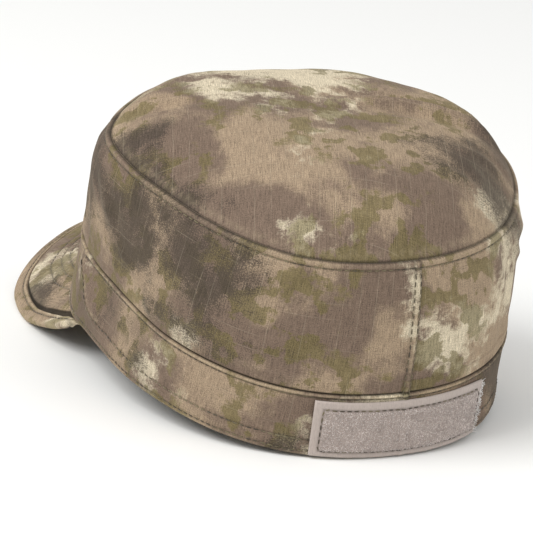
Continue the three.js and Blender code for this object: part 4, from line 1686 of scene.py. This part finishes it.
@dataclass(frozen=True)
class PrintedCloth:
    """Printed ripstop cotton twill: a generic camouflage over a weave, in real millimetres.

    Each cloth piece is cut from its own place of the print, so place and turn differ.
    """

    name: str
    place: Place
    turn: float = 0.0
    weave_turn: float = 0.0
    grid: float = 6.2
    roughness: float = 0.9

    def tones(self, board: NodeBoard, cloth: Socket) -> Socket:
        """The print's colours.

        Args:
            board: the material's nodes.
            cloth: coordinates in millimetres over the flat cloth.

        Returns:
            The colour.
        """
        spot = board.mapped(cloth, self.place, self.turn)
        ragged = board.maths("SUBTRACT", board.noise(spot, 12, 7, 0.72), 0.5)
        stipple = board.maths("SUBTRACT", board.noise(spot, 0.55, 1, 0.5), 0.5)

        def patches(
            shift: float, size: float, low: float, high: float, torn: float, dotted: float
        ) -> Socket:
            """One ink's patches.

            Args:
                shift: where on the noise they lie.
                size: their size in millimetres.
                low: the noise at their edge.
                high: the noise where they are full.
                torn: how ragged their edge is.
                dotted: how far it breaks into dots.

            Returns:
                How much of the ink lies at each place.
            """
            moved = board.mapped(spot, (shift, shift * 0.7, 0))
            torn_by = board.maths("MULTIPLY", ragged, torn)
            edge = board.maths("ADD", torn_by, board.maths("MULTIPLY", stipple, dotted))
            return board.step(board.maths("ADD", board.noise(moved, size, 2, 0.5), edge), low, high)

        soft = patches(0, 46, 0.43, 0.57, 0.42, 0.06)
        colour = board.mix(soft, linear(PrintTone.TAUPE.value), linear(PrintTone.TAN.value))
        sand = board.maths("MULTIPLY", patches(310, 74, 0.54, 0.625, 0.46, 0.03), 0.94)
        colour = board.mix(sand, colour, linear(PrintTone.SAND.value))
        spots = patches(620, 13, 0.5, 0.54, 0.72, 0.05)
        olive = board.maths("MULTIPLY", spots, patches(910, 58, 0.46, 0.53, 0.6, 0.05))
        colour = board.mix(board.maths("MULTIPLY", olive, 0.68), colour, linear(PrintTone.OLIVE.value))
        dark = board.maths("MULTIPLY", patches(1230, 78, 0.54, 0.64, 0.34, 0.2), 0.9)
        return board.mix(dark, colour, linear(PrintTone.DARK.value))

    def threads(self, board: NodeBoard, cloth: Socket) -> tuple[Socket, Socket, Socket]:
        """The ripstop grid and the streaks of single threads.

        Args:
            board: the material's nodes.
            cloth: coordinates in millimetres over the flat cloth.

        Returns:
            How much of the grid, how pale the streaks and how high the weave stands.
        """
        woven = board.mapped(cloth, (0, 0, 0), self.weave_turn)
        parts = board.add("ShaderNodeSeparateXYZ", {0: woven}).outputs
        lines = []
        for axis, long_way, faint in ((0, (1, 0.05, 1), 0.38), (1, (0.05, 1, 1), 0.5)):
            away = board.maths("PINGPONG", parts[axis], self.grid / 2)
            line = board.step(away, 0.2, 0.06)
            along = board.noise(board.mapped(woven, (17, 5, 0), 0, long_way), 1.4, 1)
            lines.append(board.maths("MULTIPLY", line, board.step(along, faint, faint + 0.22)))
        grid = board.maths("MAXIMUM", *lines)
        # Real threads are 0.25 mm wide; they are drawn at about 0.4 mm, so that they show.
        warp = board.noise(board.mapped(woven, (0, 0, 0), 0, (1, 0.07, 1)), 0.4, 2, 0.6)
        weft = board.noise(board.mapped(woven, (40, 9, 0), 0, (0.12, 1, 1)), 0.4, 2, 0.6)
        grain = board.noise(woven, 0.42, 1, 0.5)
        streaks = board.maths("ADD", board.maths("ADD", warp, board.maths("MULTIPLY", weft, 0.45)), grain)
        return grid, streaks, board.maths("ADD", warp, weft)

    def build(self) -> bpy.types.Material:
        """Makes the material.

        Returns:
            The material.
        """
        material = bpy.data.materials.new(self.name)
        material.use_nodes = True
        board = NodeBoard(material.node_tree)
        cloth = board.add("ShaderNodeUVMap", uv_map="cloth").outputs[0]
        shade, wear, reverse = (
            board.add("ShaderNodeAttribute", attribute_name=name).outputs["Fac"]
            for name in ("shade", "wear", "reverse")
        )
        grid, streaks, weave = self.threads(board, cloth)
        unprinted = board.maths("MULTIPLY", reverse, 0.8)
        colour = board.mix(unprinted, self.tones(board, cloth), linear(PrintTone.REVERSE.value))
        inputs = {"Value": streaks, "From Min": 0.8, "From Max": 1.65, "To Min": 0.4, "To Max": 1.6}
        tone = board.add("ShaderNodeMapRange", inputs).outputs[0]
        grey = board.add("ShaderNodeCombineColor", {0: tone, 1: tone, 2: tone}).outputs[0]
        colour = board.mix(1.0, colour, grey, "MULTIPLY")
        colour = board.mix(board.maths("MULTIPLY", grid, 0.15), colour, linear("#cabda4"))
        rubbed = board.maths("MULTIPLY", wear, board.step(board.noise(cloth, 2.2, 2), 0.3, 0.7))
        colour = board.mix(board.maths("MULTIPLY", rubbed, 0.42), colour, linear("#c3b292"))
        # Painted shade: deep in seams and grooves the colour is mixed towards near-black.
        painted_shade = board.maths("SUBTRACT", 1.0, shade)
        colour = board.mix(board.maths("MULTIPLY", painted_shade, 0.9), colour, linear("#17130d"))
        crumple = board.noise(cloth, 5.5, 3, 0.6)
        woven, lined = board.maths("MULTIPLY", weave, 0.05), board.maths("MULTIPLY", grid, 0.06)
        height = board.maths("ADD", woven, lined)
        height = board.maths("ADD", height, board.maths("MULTIPLY", crumple, 0.35))
        inputs = {"Height": height, "Distance": MM, "Strength": 0.9}
        bump = board.add("ShaderNodeBump", inputs).outputs[0]

        # Washed cotton is matt, with a faint bloom of loose fibres where it turns away.
        shader = board.add(
            "ShaderNodeBsdfPrincipled",
            {
                "Base Color": colour,
                "Roughness": self.roughness,
                "Specular IOR Level": 0.25,
                "Sheen Weight": 0.14,
                "Sheen Roughness": 0.5,
                "Sheen Tint": linear("#cbb999"),
                "Normal": bump,
            },
        )
        board.add("ShaderNodeOutputMaterial", {"Surface": shader.outputs[0]})
        return material


@dataclass(frozen=True)
class SewingThread:
    """Dull polyester sewing thread, dark with an olive tint."""

    name: str = "polyester_sewing_thread"
    dark: str = "#392f1f"
    pale: str = "#71674a"
    roughness: float = 0.65

    def build(self) -> bpy.types.Material:
        """Makes the material.

        Returns:
            The material.
        """
        material = bpy.data.materials.new(self.name)
        material.use_nodes = True
        board = NodeBoard(material.node_tree)
        spot = board.add("ShaderNodeTexCoord").outputs["Object"]
        share = board.step(board.noise(spot, 9 * MM, 3), 0.4, 0.62)
        colour = board.mix(share, linear(self.dark), linear(self.pale))
        ply = board.noise(spot, 0.4 * MM, 1)
        bump = board.add("ShaderNodeBump", {"Height": ply, "Distance": 0.1 * MM}).outputs[0]

        # Spun polyester has a dull, slightly hairy surface and no bright lights.
        inputs = {"Base Color": colour, "Roughness": self.roughness, "Sheen Weight": 0.2, "Normal": bump}
        shader = board.add("ShaderNodeBsdfPrincipled", inputs)
        board.add("ShaderNodeOutputMaterial", {"Surface": shader.outputs[0]})
        return material


@dataclass(frozen=True)
class NylonTape:
    """The loop panel's woven nylon: its ribbed border and the ground under the pile."""

    name: str = "woven_nylon_tape"
    border: str = "#b0a39b"
    ground: str = "#a3958d"

    def build(self) -> bpy.types.Material:
        """Makes the material.

        Returns:
            The material.
        """
        material = bpy.data.materials.new(self.name)
        material.use_nodes = True
        board = NodeBoard(material.node_tree)
        cloth = board.add("ShaderNodeUVMap", uv_map="cloth").outputs[0]
        shade, inner = (
            board.add("ShaderNodeAttribute", attribute_name=name).outputs["Fac"]
            for name in ("shade", "wear")
        )
        rib = board.noise(board.mapped(cloth, (0, 0, 0), 0, (1, 0.2, 1)), 0.55, 2, 0.6)
        fleck = board.noise(cloth, 0.6, 2, 0.7)
        colour = board.mix(inner, linear(self.border), linear(self.ground))
        tone = board.add("ShaderNodeMapRange", {"Value": rib, "To Min": 0.8, "To Max": 1.2}).outputs[0]
        grey = board.add("ShaderNodeCombineColor", {0: tone, 1: tone, 2: tone}).outputs[0]
        colour = board.mix(1.0, colour, grey, "MULTIPLY")
        # Painted shade: along the sunk stitch line the colour is mixed towards a dark brown.
        painted_shade = board.maths("MULTIPLY", board.maths("SUBTRACT", 1.0, shade), 0.8)
        colour = board.mix(painted_shade, colour, linear("#2b2620"))
        height = board.maths("ADD", rib, board.maths("MULTIPLY", fleck, 0.6))
        bump = board.add("ShaderNodeBump", {"Height": height, "Distance": 0.3 * MM}).outputs[0]

        # Woven nylon is smoother than cotton: its ribs catch a soft light.
        inputs = {"Base Color": colour, "Roughness": 0.8, "Sheen Weight": 0.25, "Normal": bump}
        shader = board.add("ShaderNodeBsdfPrincipled", inputs)
        board.add("ShaderNodeOutputMaterial", {"Surface": shader.outputs[0]})
        return material


@dataclass(frozen=True)
class NylonPile:
    """Fine nylon loops and loose fibres, which catch the light."""

    name: str = "nylon_loop_pile"
    dark: str = "#8f827c"
    pale: str = "#efe5e0"
    patch: float = 0.9 * MM
    roughness: float = 0.55

    def build(self) -> bpy.types.Material:
        """Makes the material.

        Returns:
            The material.
        """
        material = bpy.data.materials.new(self.name)
        material.use_nodes = True
        board = NodeBoard(material.node_tree)
        spot = board.add("ShaderNodeTexCoord").outputs["Object"]
        fleck = board.step(board.noise(spot, self.patch, 2), 0.34, 0.66)
        broad = board.step(board.noise(spot, 6 * MM, 2), 0.3, 0.7)
        fleck, broad = board.maths("MULTIPLY", fleck, 0.75), board.maths("MULTIPLY", broad, 0.25)
        share = board.maths("ADD", fleck, broad)
        colour = board.mix(share, linear(self.dark), linear(self.pale))

        # The fibres are pale at their tips, so the pile glitters softly.
        inputs = {"Base Color": colour, "Roughness": self.roughness, "Sheen Weight": 0.3}
        shader = board.add("ShaderNodeBsdfPrincipled", inputs)
        board.add("ShaderNodeOutputMaterial", {"Surface": shader.outputs[0]})
        return material


def plain_mesh(
    name: str, points: np.ndarray, edges: list[tuple[int, ...]], faces: list[tuple[int, ...]]
) -> bpy.types.Object:
    """Makes a mesh object from points in metres.

    Args:
        name: its name.
        points: points in metres.
        edges: pairs of points.
        faces: the points of each face, in order.

    Returns:
        The object.
    """
    mesh = bpy.data.meshes.new(name)
    mesh.from_pydata(np.asarray(points).tolist(), edges, faces)
    mesh.update()
    piece = bpy.data.objects.new(name, mesh)
    bpy.context.scene.collection.objects.link(piece)
    return piece


def bent_tube(name: str, path: np.ndarray, radius: np.ndarray, sides: int) -> bpy.types.Object:
    """Makes a closed tube along a path in the X-Z plane.

    Args:
        name: the object's name.
        path: points in millimetres.
        radius: the tube's radius at each point.
        sides: how many sides it has.

    Returns:
        The tube, in metres.
    """
    run = unit(np.gradient(path, axis=0))
    level = np.array([0, 1.0, 0])
    upright = np.cross(run, level)
    angle = np.arange(sides) * 2 * math.pi / sides
    ring = np.cos(angle)[None, :, None] * level + np.sin(angle)[None, :, None] * upright[:, None, :]
    points = path[:, None, :] + ring * radius[:, None, None]
    faces = []
    for row in range(len(path) - 1):
        near, far = row * sides, (row + 1) * sides
        for side in range(sides):
            ahead = (side + 1) % sides
            faces.append((near + side, near + ahead, far + ahead, far + side))
    faces.append(tuple(range(sides))[::-1])
    faces.append(tuple((len(path) - 1) * sides + side for side in range(sides)))
    return plain_mesh(name, points.reshape(-1, 3) * MM, [], faces)


@dataclass
class RepeatTree:
    """A Geometry Nodes tree that repeats a small shape along rows or over a surface."""

    name: str
    tree: bpy.types.NodeTree = field(init=False)
    board: NodeBoard = field(init=False)

    def __post_init__(self) -> None:
        """Makes the tree with its named inputs."""
        self.tree = bpy.data.node_groups.new(self.name, "GeometryNodeTree")
        self.board = NodeBoard(self.tree)
        sockets = (
            ("Geometry", "NodeSocketGeometry"),
            ("Shape", "NodeSocketObject"),
            ("Spacing", "NodeSocketFloat"),
            ("Spin", "NodeSocketFloat"),
            ("Tilt", "NodeSocketFloat"),
            ("Least Scale", "NodeSocketFloat"),
            ("Seed", "NodeSocketInt"),
            ("Finish", "NodeSocketMaterial"),
        )
        for name, kind in sockets:
            self.tree.interface.new_socket(name, in_out="INPUT", socket_type=kind)
        self.tree.interface.new_socket("Geometry", in_out="OUTPUT", socket_type="NodeSocketGeometry")
        self.given = self.board.add("NodeGroupInput").outputs

    def scatter(self, points: Socket, aligned: Socket) -> None:
        """Puts the shape at every point, varied by the seed, and closes the tree.

        Args:
            points: the points.
            aligned: the rotation that lays the shape on the cloth.
        """
        board, given = self.board, self.given
        shape = board.add("GeometryNodeObjectInfo", {"Object": given["Shape"]}).outputs["Geometry"]
        spin = self.even(given["Spin"], 1)
        lean = self.even(given["Tilt"], 2)
        own = board.add("ShaderNodeCombineXYZ", {"X": lean, "Z": spin}).outputs[0]
        euler = board.add("FunctionNodeEulerToRotation", {0: own}).outputs[0]
        turned_by = board.add(
            "FunctionNodeRotateRotation", {"Rotation": aligned, "Rotate By": euler}, rotation_space="LOCAL"
        ).outputs[0]
        seed = board.add("FunctionNodeInputInt", integer=3).outputs[0]
        scale = board.add(
            "FunctionNodeRandomValue",
            {2: given["Least Scale"], 3: 1.0, "Seed": board.maths("ADD", given["Seed"], seed)},
            data_type="FLOAT",
        ).outputs[1]
        put = board.add(
            "GeometryNodeInstanceOnPoints",
            {"Points": points, "Instance": shape, "Rotation": turned_by, "Scale": scale},
        ).outputs[0]
        whole = board.add("GeometryNodeRealizeInstances", {"Geometry": put}).outputs[0]
        smooth = board.add("GeometryNodeSetShadeSmooth", {"Geometry": whole}).outputs[0]
        inputs = {"Geometry": smooth, "Material": given["Finish"]}
        dressed = board.add("GeometryNodeSetMaterial", inputs).outputs[0]
        board.add("NodeGroupOutput", {0: dressed})

    def even(self, limit: Socket, offset: int) -> Socket:
        """A random value between minus and plus a limit.

        Args:
            limit: the value's largest size.
            offset: tells its seed from others.

        Returns:
            The value.
        """
        board = self.board
        seed = board.maths("ADD", self.given["Seed"], offset)
        low = board.maths("MULTIPLY", limit, -1.0)
        inputs = {2: low, 3: limit, "Seed": seed}
        return board.add("FunctionNodeRandomValue", inputs, data_type="FLOAT").outputs[1]

    def aligned(self, axis: str, pivot: str, vector: Socket, rotation: Socket | None = None) -> Socket:
        """A rotation with one axis turned to a vector.

        Args:
            axis: the axis that is turned.
            pivot: the axis that it turns about.
            vector: where it is to point.
            rotation: the rotation to start from, if any.

        Returns:
            The rotation.
        """
        inputs = {"Vector": vector}
        if rotation is not None:
            inputs["Rotation"] = rotation
        kind = "FunctionNodeAlignRotationToVector"
        return self.board.add(kind, inputs, axis=axis, pivot_axis=pivot).outputs[0]

    def along_rows(self) -> "RepeatTree":
        """Repeats the shape end to end along polylines, standing out of the cloth.

        Returns:
            The tree itself.
        """
        board = self.board
        curve = board.add("GeometryNodeMeshToCurve", {"Mesh": self.given["Geometry"]}).outputs[0]
        inputs = {"Curve": curve, "Length": self.given["Spacing"]}
        even = board.add("GeometryNodeResampleCurve", inputs, mode="LENGTH")
        tangent = board.add("GeometryNodeInputTangent").outputs[0]
        inputs = {"Name": "out"}
        out = board.add("GeometryNodeInputNamedAttribute", inputs, data_type="FLOAT_VECTOR").outputs[0]
        along = self.aligned("X", "AUTO", tangent)
        self.scatter(even.outputs[0], self.aligned("Z", "X", out, along))
        return self

    def over_surface(self) -> "RepeatTree":
        """Scatters the shape over faces, no two nearer than the spacing.

        Returns:
            The tree itself.
        """
        board = self.board
        spread = board.add(
            "GeometryNodeDistributePointsOnFaces",
            {
                "Mesh": self.given["Geometry"],
                "Distance Min": self.given["Spacing"],
                "Density Max": 1.0e7,
                "Seed": self.given["Seed"],
            },
            distribute_method="POISSON",
        )
        self.scatter(spread.outputs["Points"], spread.outputs["Rotation"])
        return self

    def repeat(self, name: str, source: bpy.types.Object, inputs: dict[str, object]) -> bpy.types.Object:
        """Runs the tree on an object and keeps the result as a plain mesh.

        Args:
            name: the finished piece's name.
            source: the object with the rows or the surface, which is then removed.
            inputs: the tree's inputs by name.

        Returns:
            The finished piece.
        """
        modifier = source.modifiers.new(self.name, "NODES")
        modifier.node_group = self.tree
        for socket in self.tree.interface.items_tree:
            if socket.in_out == "INPUT" and socket.name in inputs:
                modifier[socket.identifier] = inputs[socket.name]
        source.update_tag()
        graph = bpy.context.evaluated_depsgraph_get()
        mesh = bpy.data.meshes.new_from_object(source.evaluated_get(graph))
        mesh.name = name
        bpy.data.objects.remove(source)
        piece = bpy.data.objects.new(name, mesh)
        bpy.context.scene.collection.objects.link(piece)
        return piece


@dataclass
class Sewing:
    """Machine stitches of one thread, laid along rows."""

    finish: bpy.types.Material
    pitch: float = 2.9
    thread: float = 0.24
    sink: float = 0.2
    shown: float = 0.84
    tree: RepeatTree = field(init=False)
    stitch: bpy.types.Object = field(init=False)

    def __post_init__(self) -> None:
        """Makes the tree and one stitch, whose ends dip into the cloth."""
        self.tree = RepeatTree("stitches_along_rows").along_rows()
        self.stitch = self.single("single_stitch")

    def single(self, name: str) -> bpy.types.Object:
        """Makes one stitch in the X-Z plane.

        Args:
            name: its name.

        Returns:
            The object.
        """
        share = np.linspace(-1, 1, 9)
        length = self.pitch * self.shown
        rise = self.thread * 0.55 - (self.sink + self.thread) * np.abs(share) ** 3
        path = np.stack([share * length / 2, 0 * share, rise], axis=-1)
        radius = self.thread * np.sqrt(1 - 0.75 * share**4)
        return bent_tube(name, path, radius, 6)

    def sew(self, name: str, rows: list[StitchRow], seed: int) -> bpy.types.Object:
        """Sews some rows.

        Args:
            name: the piece's name.
            rows: the rows of stitches.
            seed: varies the stitches.

        Returns:
            The stitches as one piece.
        """
        points = np.concatenate([row.points for row in rows])
        normals = np.concatenate([row.normals for row in rows])
        edges, start = [], 0
        for row in rows:
            count = len(row.points)
            edges += [(start + place, start + place + 1) for place in range(count - 1)]
            if row.closed:
                edges.append((start + count - 1, start))
            start += count
        source = plain_mesh(name + "_rows", REST.place(points), edges, [])
        out = source.data.attributes.new("out", "FLOAT_VECTOR", "POINT")
        out.data.foreach_set("vector", REST.turn(normals).astype(np.float32).ravel())
        inputs = {
            "Shape": self.stitch,
            "Spacing": self.pitch * MM,
            "Spin": math.radians(5),
            "Tilt": 0.0,
            "Least Scale": 0.86,
            "Seed": seed,
            "Finish": self.finish,
        }
        return self.tree.repeat(name, source, inputs)


@dataclass(frozen=True)
class PhotoCamera:
    """The camera that was fitted to the photograph, in the cap's frame and millimetres."""

    azimuth: float = 151.5352
    elevation: float = 22.8219
    roll: float = 8.986
    distance: float = 1300.0
    across: float = -6.2875
    up: float = 28.7538
    focal_pixels: float = 3179.15
    frame_pixels: float = 533.0
    sensor: float = 36.0

    def build(self) -> bpy.types.Object:
        """Makes the camera and the scene's active one.

        Returns:
            The object.
        """
        turn, rise, roll = (math.radians(angle) for angle in (self.azimuth, self.elevation, self.roll))
        back = np.array([math.sin(turn) * math.cos(rise), -math.cos(turn) * math.cos(rise), math.sin(rise)])
        level = unit(np.cross([0, 0, 1.0], back))
        upright = np.cross(back, level)
        right = math.cos(roll) * level + math.sin(roll) * upright
        above = -math.sin(roll) * level + math.cos(roll) * upright
        place = back * self.distance + right * self.across + above * self.up
        data = bpy.data.cameras.new("photo_camera")
        data.sensor_width = self.sensor
        data.lens = self.focal_pixels / self.frame_pixels * self.sensor
        data.clip_end = 50
        camera = bpy.data.objects.new("photo_camera", data)
        bpy.context.scene.collection.objects.link(camera)
        axes = [REST.turn(axis) for axis in (right, above, back)]
        matrix = Matrix.Identity(4)
        for column, axis in enumerate((*axes, REST.place(place))):
            matrix.col[column][:3] = axis.tolist()
        camera.matrix_world = matrix
        bpy.context.scene.camera = camera
        return camera


@dataclass(frozen=True)
class Studio:
    """A pale floor and soft lights, placed by the camera's own directions."""

    floor_size: float = 14.0
    floor_tone: str = "#f4f4f2"
    key_power: float = 26.0
    fill_power: float = 6.0
    sky: float = 0.75

    def lamp(self, name: str, place: Vector, size: float, power: float) -> None:
        """Adds a square soft light that looks at the cap.

        Args:
            name: its name.
            place: where it stands.
            size: its side in metres.
            power: its power in watts.
        """
        data = bpy.data.lights.new(name, "AREA")
        data.size = size
        data.energy = power
        light = bpy.data.objects.new(name, data)
        bpy.context.scene.collection.objects.link(light)
        look = (place - Vector((0, 0, 0.05))).to_track_quat("Z", "Y")
        light.matrix_world = Matrix.Translation(place) @ look.to_matrix().to_4x4()

    def build(self, camera: bpy.types.Object) -> None:
        """Makes the floor, the lights and the pale surroundings.

        Args:
            camera: the camera.
        """
        half = self.floor_size / 2
        corners = [(-half, -half, 0), (half, -half, 0), (half, half, 0), (-half, half, 0)]
        floor = plain_mesh("floor", np.array(corners), [], [(0, 1, 2, 3)])
        material = bpy.data.materials.new("pale_studio_floor")
        material.use_nodes = True
        board = NodeBoard(material.node_tree)
        inputs = {"Base Color": linear(self.floor_tone), "Roughness": 0.95, "Specular IOR Level": 0.1}
        shader = board.add("ShaderNodeBsdfPrincipled", inputs)
        board.add("ShaderNodeOutputMaterial", {"Surface": shader.outputs[0]})
        floor.data.materials.append(material)
        right = camera.matrix_world.col[0].xyz
        level_right = Vector((right.x, right.y, 0)).normalized()
        towards = Vector((camera.matrix_world.col[3].x, camera.matrix_world.col[3].y, 0)).normalized()
        key = -level_right * 1.1 + towards * 0.7 + Vector((0, 0, 1.5))
        fill = level_right * 1.5 + towards * 0.9 + Vector((0, 0, 0.8))
        self.lamp("key_light", key, 1.3, self.key_power)
        self.lamp("fill_light", fill, 1.6, self.fill_power)
        world = bpy.data.worlds.new("pale_studio")
        world.use_nodes = True
        sky = NodeBoard(world.node_tree)
        glow = sky.add("ShaderNodeBackground", {"Color": linear("#ffffff"), "Strength": self.sky})
        sky.add("ShaderNodeOutputWorld", {"Surface": glow.outputs[0]})
        bpy.context.scene.world = world
        bpy.context.scene.view_settings.view_transform = "Standard"


@dataclass(frozen=True)
class Dressing:
    """One finished cloth piece: what it is made of and which solid it stands for."""

    piece: bpy.types.Object
    finish: bpy.types.Material | None
    slot: str
    node: str = ""

    def attach(self) -> None:
        """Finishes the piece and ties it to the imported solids."""
        if self.finish is not None:
            self.piece.data.materials.clear()
            self.piece.data.materials.append(self.finish)
        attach(self.piece, "root")
        if self.node:
            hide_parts(self.node)
        LOG.info("%s: %d faces", self.piece.name, len(self.piece.data.polygons))


def main() -> None:
    """Builds the cap, its camera, its floor and its lights."""
    logging.basicConfig(level=logging.INFO, format="%(name)s %(message)s")
    camera = PhotoCamera().build()
    Studio().build(camera)
    side, top, band, peak, panel = CrownSide(), CrownTop(), Band(), Peak(), NamePanel()
    cloth, pile = "camouflage_cloth", "loop_pile"
    dressed = (
        (side.build, PrintedCloth("ripstop_twill_side", (40, 12, 0)), "crown_side"),
        (top.build, PrintedCloth("ripstop_twill_top", (300, 70, 0), 25, 20), "crown_top"),
        (band.build, PrintedCloth("ripstop_twill_band", (90, 160, 0)), "band"),
        (peak.build_cloth, PrintedCloth("ripstop_twill_peak", (510, 20, 0)), "peak"),
        (peak.build_strip, PrintedCloth("ripstop_twill_strip", (655, 60, 0), 0, 45), "peak_edge_strip"),
    )
    for build, finish, node in dressed:
        Dressing(build(), finish.build(), cloth, node).attach()
    Dressing(panel.build(), NylonTape().build(), pile, "name_panel").attach()

    sewing = Sewing(SewingThread().build())
    thread = "sewing_thread"
    Dressing(sewing.sew("crown_stitches", side.rows(), 1), None, thread).attach()
    Dressing(sewing.sew("band_stitches", band.rows(), 11), None, thread).attach()
    Dressing(sewing.sew("peak_stitches", peak.rows(), 21), None, thread).attach()
    Dressing(sewing.sew("panel_stitches", panel.rows(), 31), None, thread).attach()
    bpy.data.objects.remove(sewing.stitch)
    scatter = RepeatTree("fibres_over_surface").over_surface()
    Dressing(panel.grow_pile(NylonPile().build(), scatter), None, pile).attach()
    loose = NylonPile("frayed_nylon_fibres", "#e4deda", "#ffffff")
    Dressing(panel.fray(loose.build(), scatter), None, pile).attach()


if __name__ == "__main__":
    main()
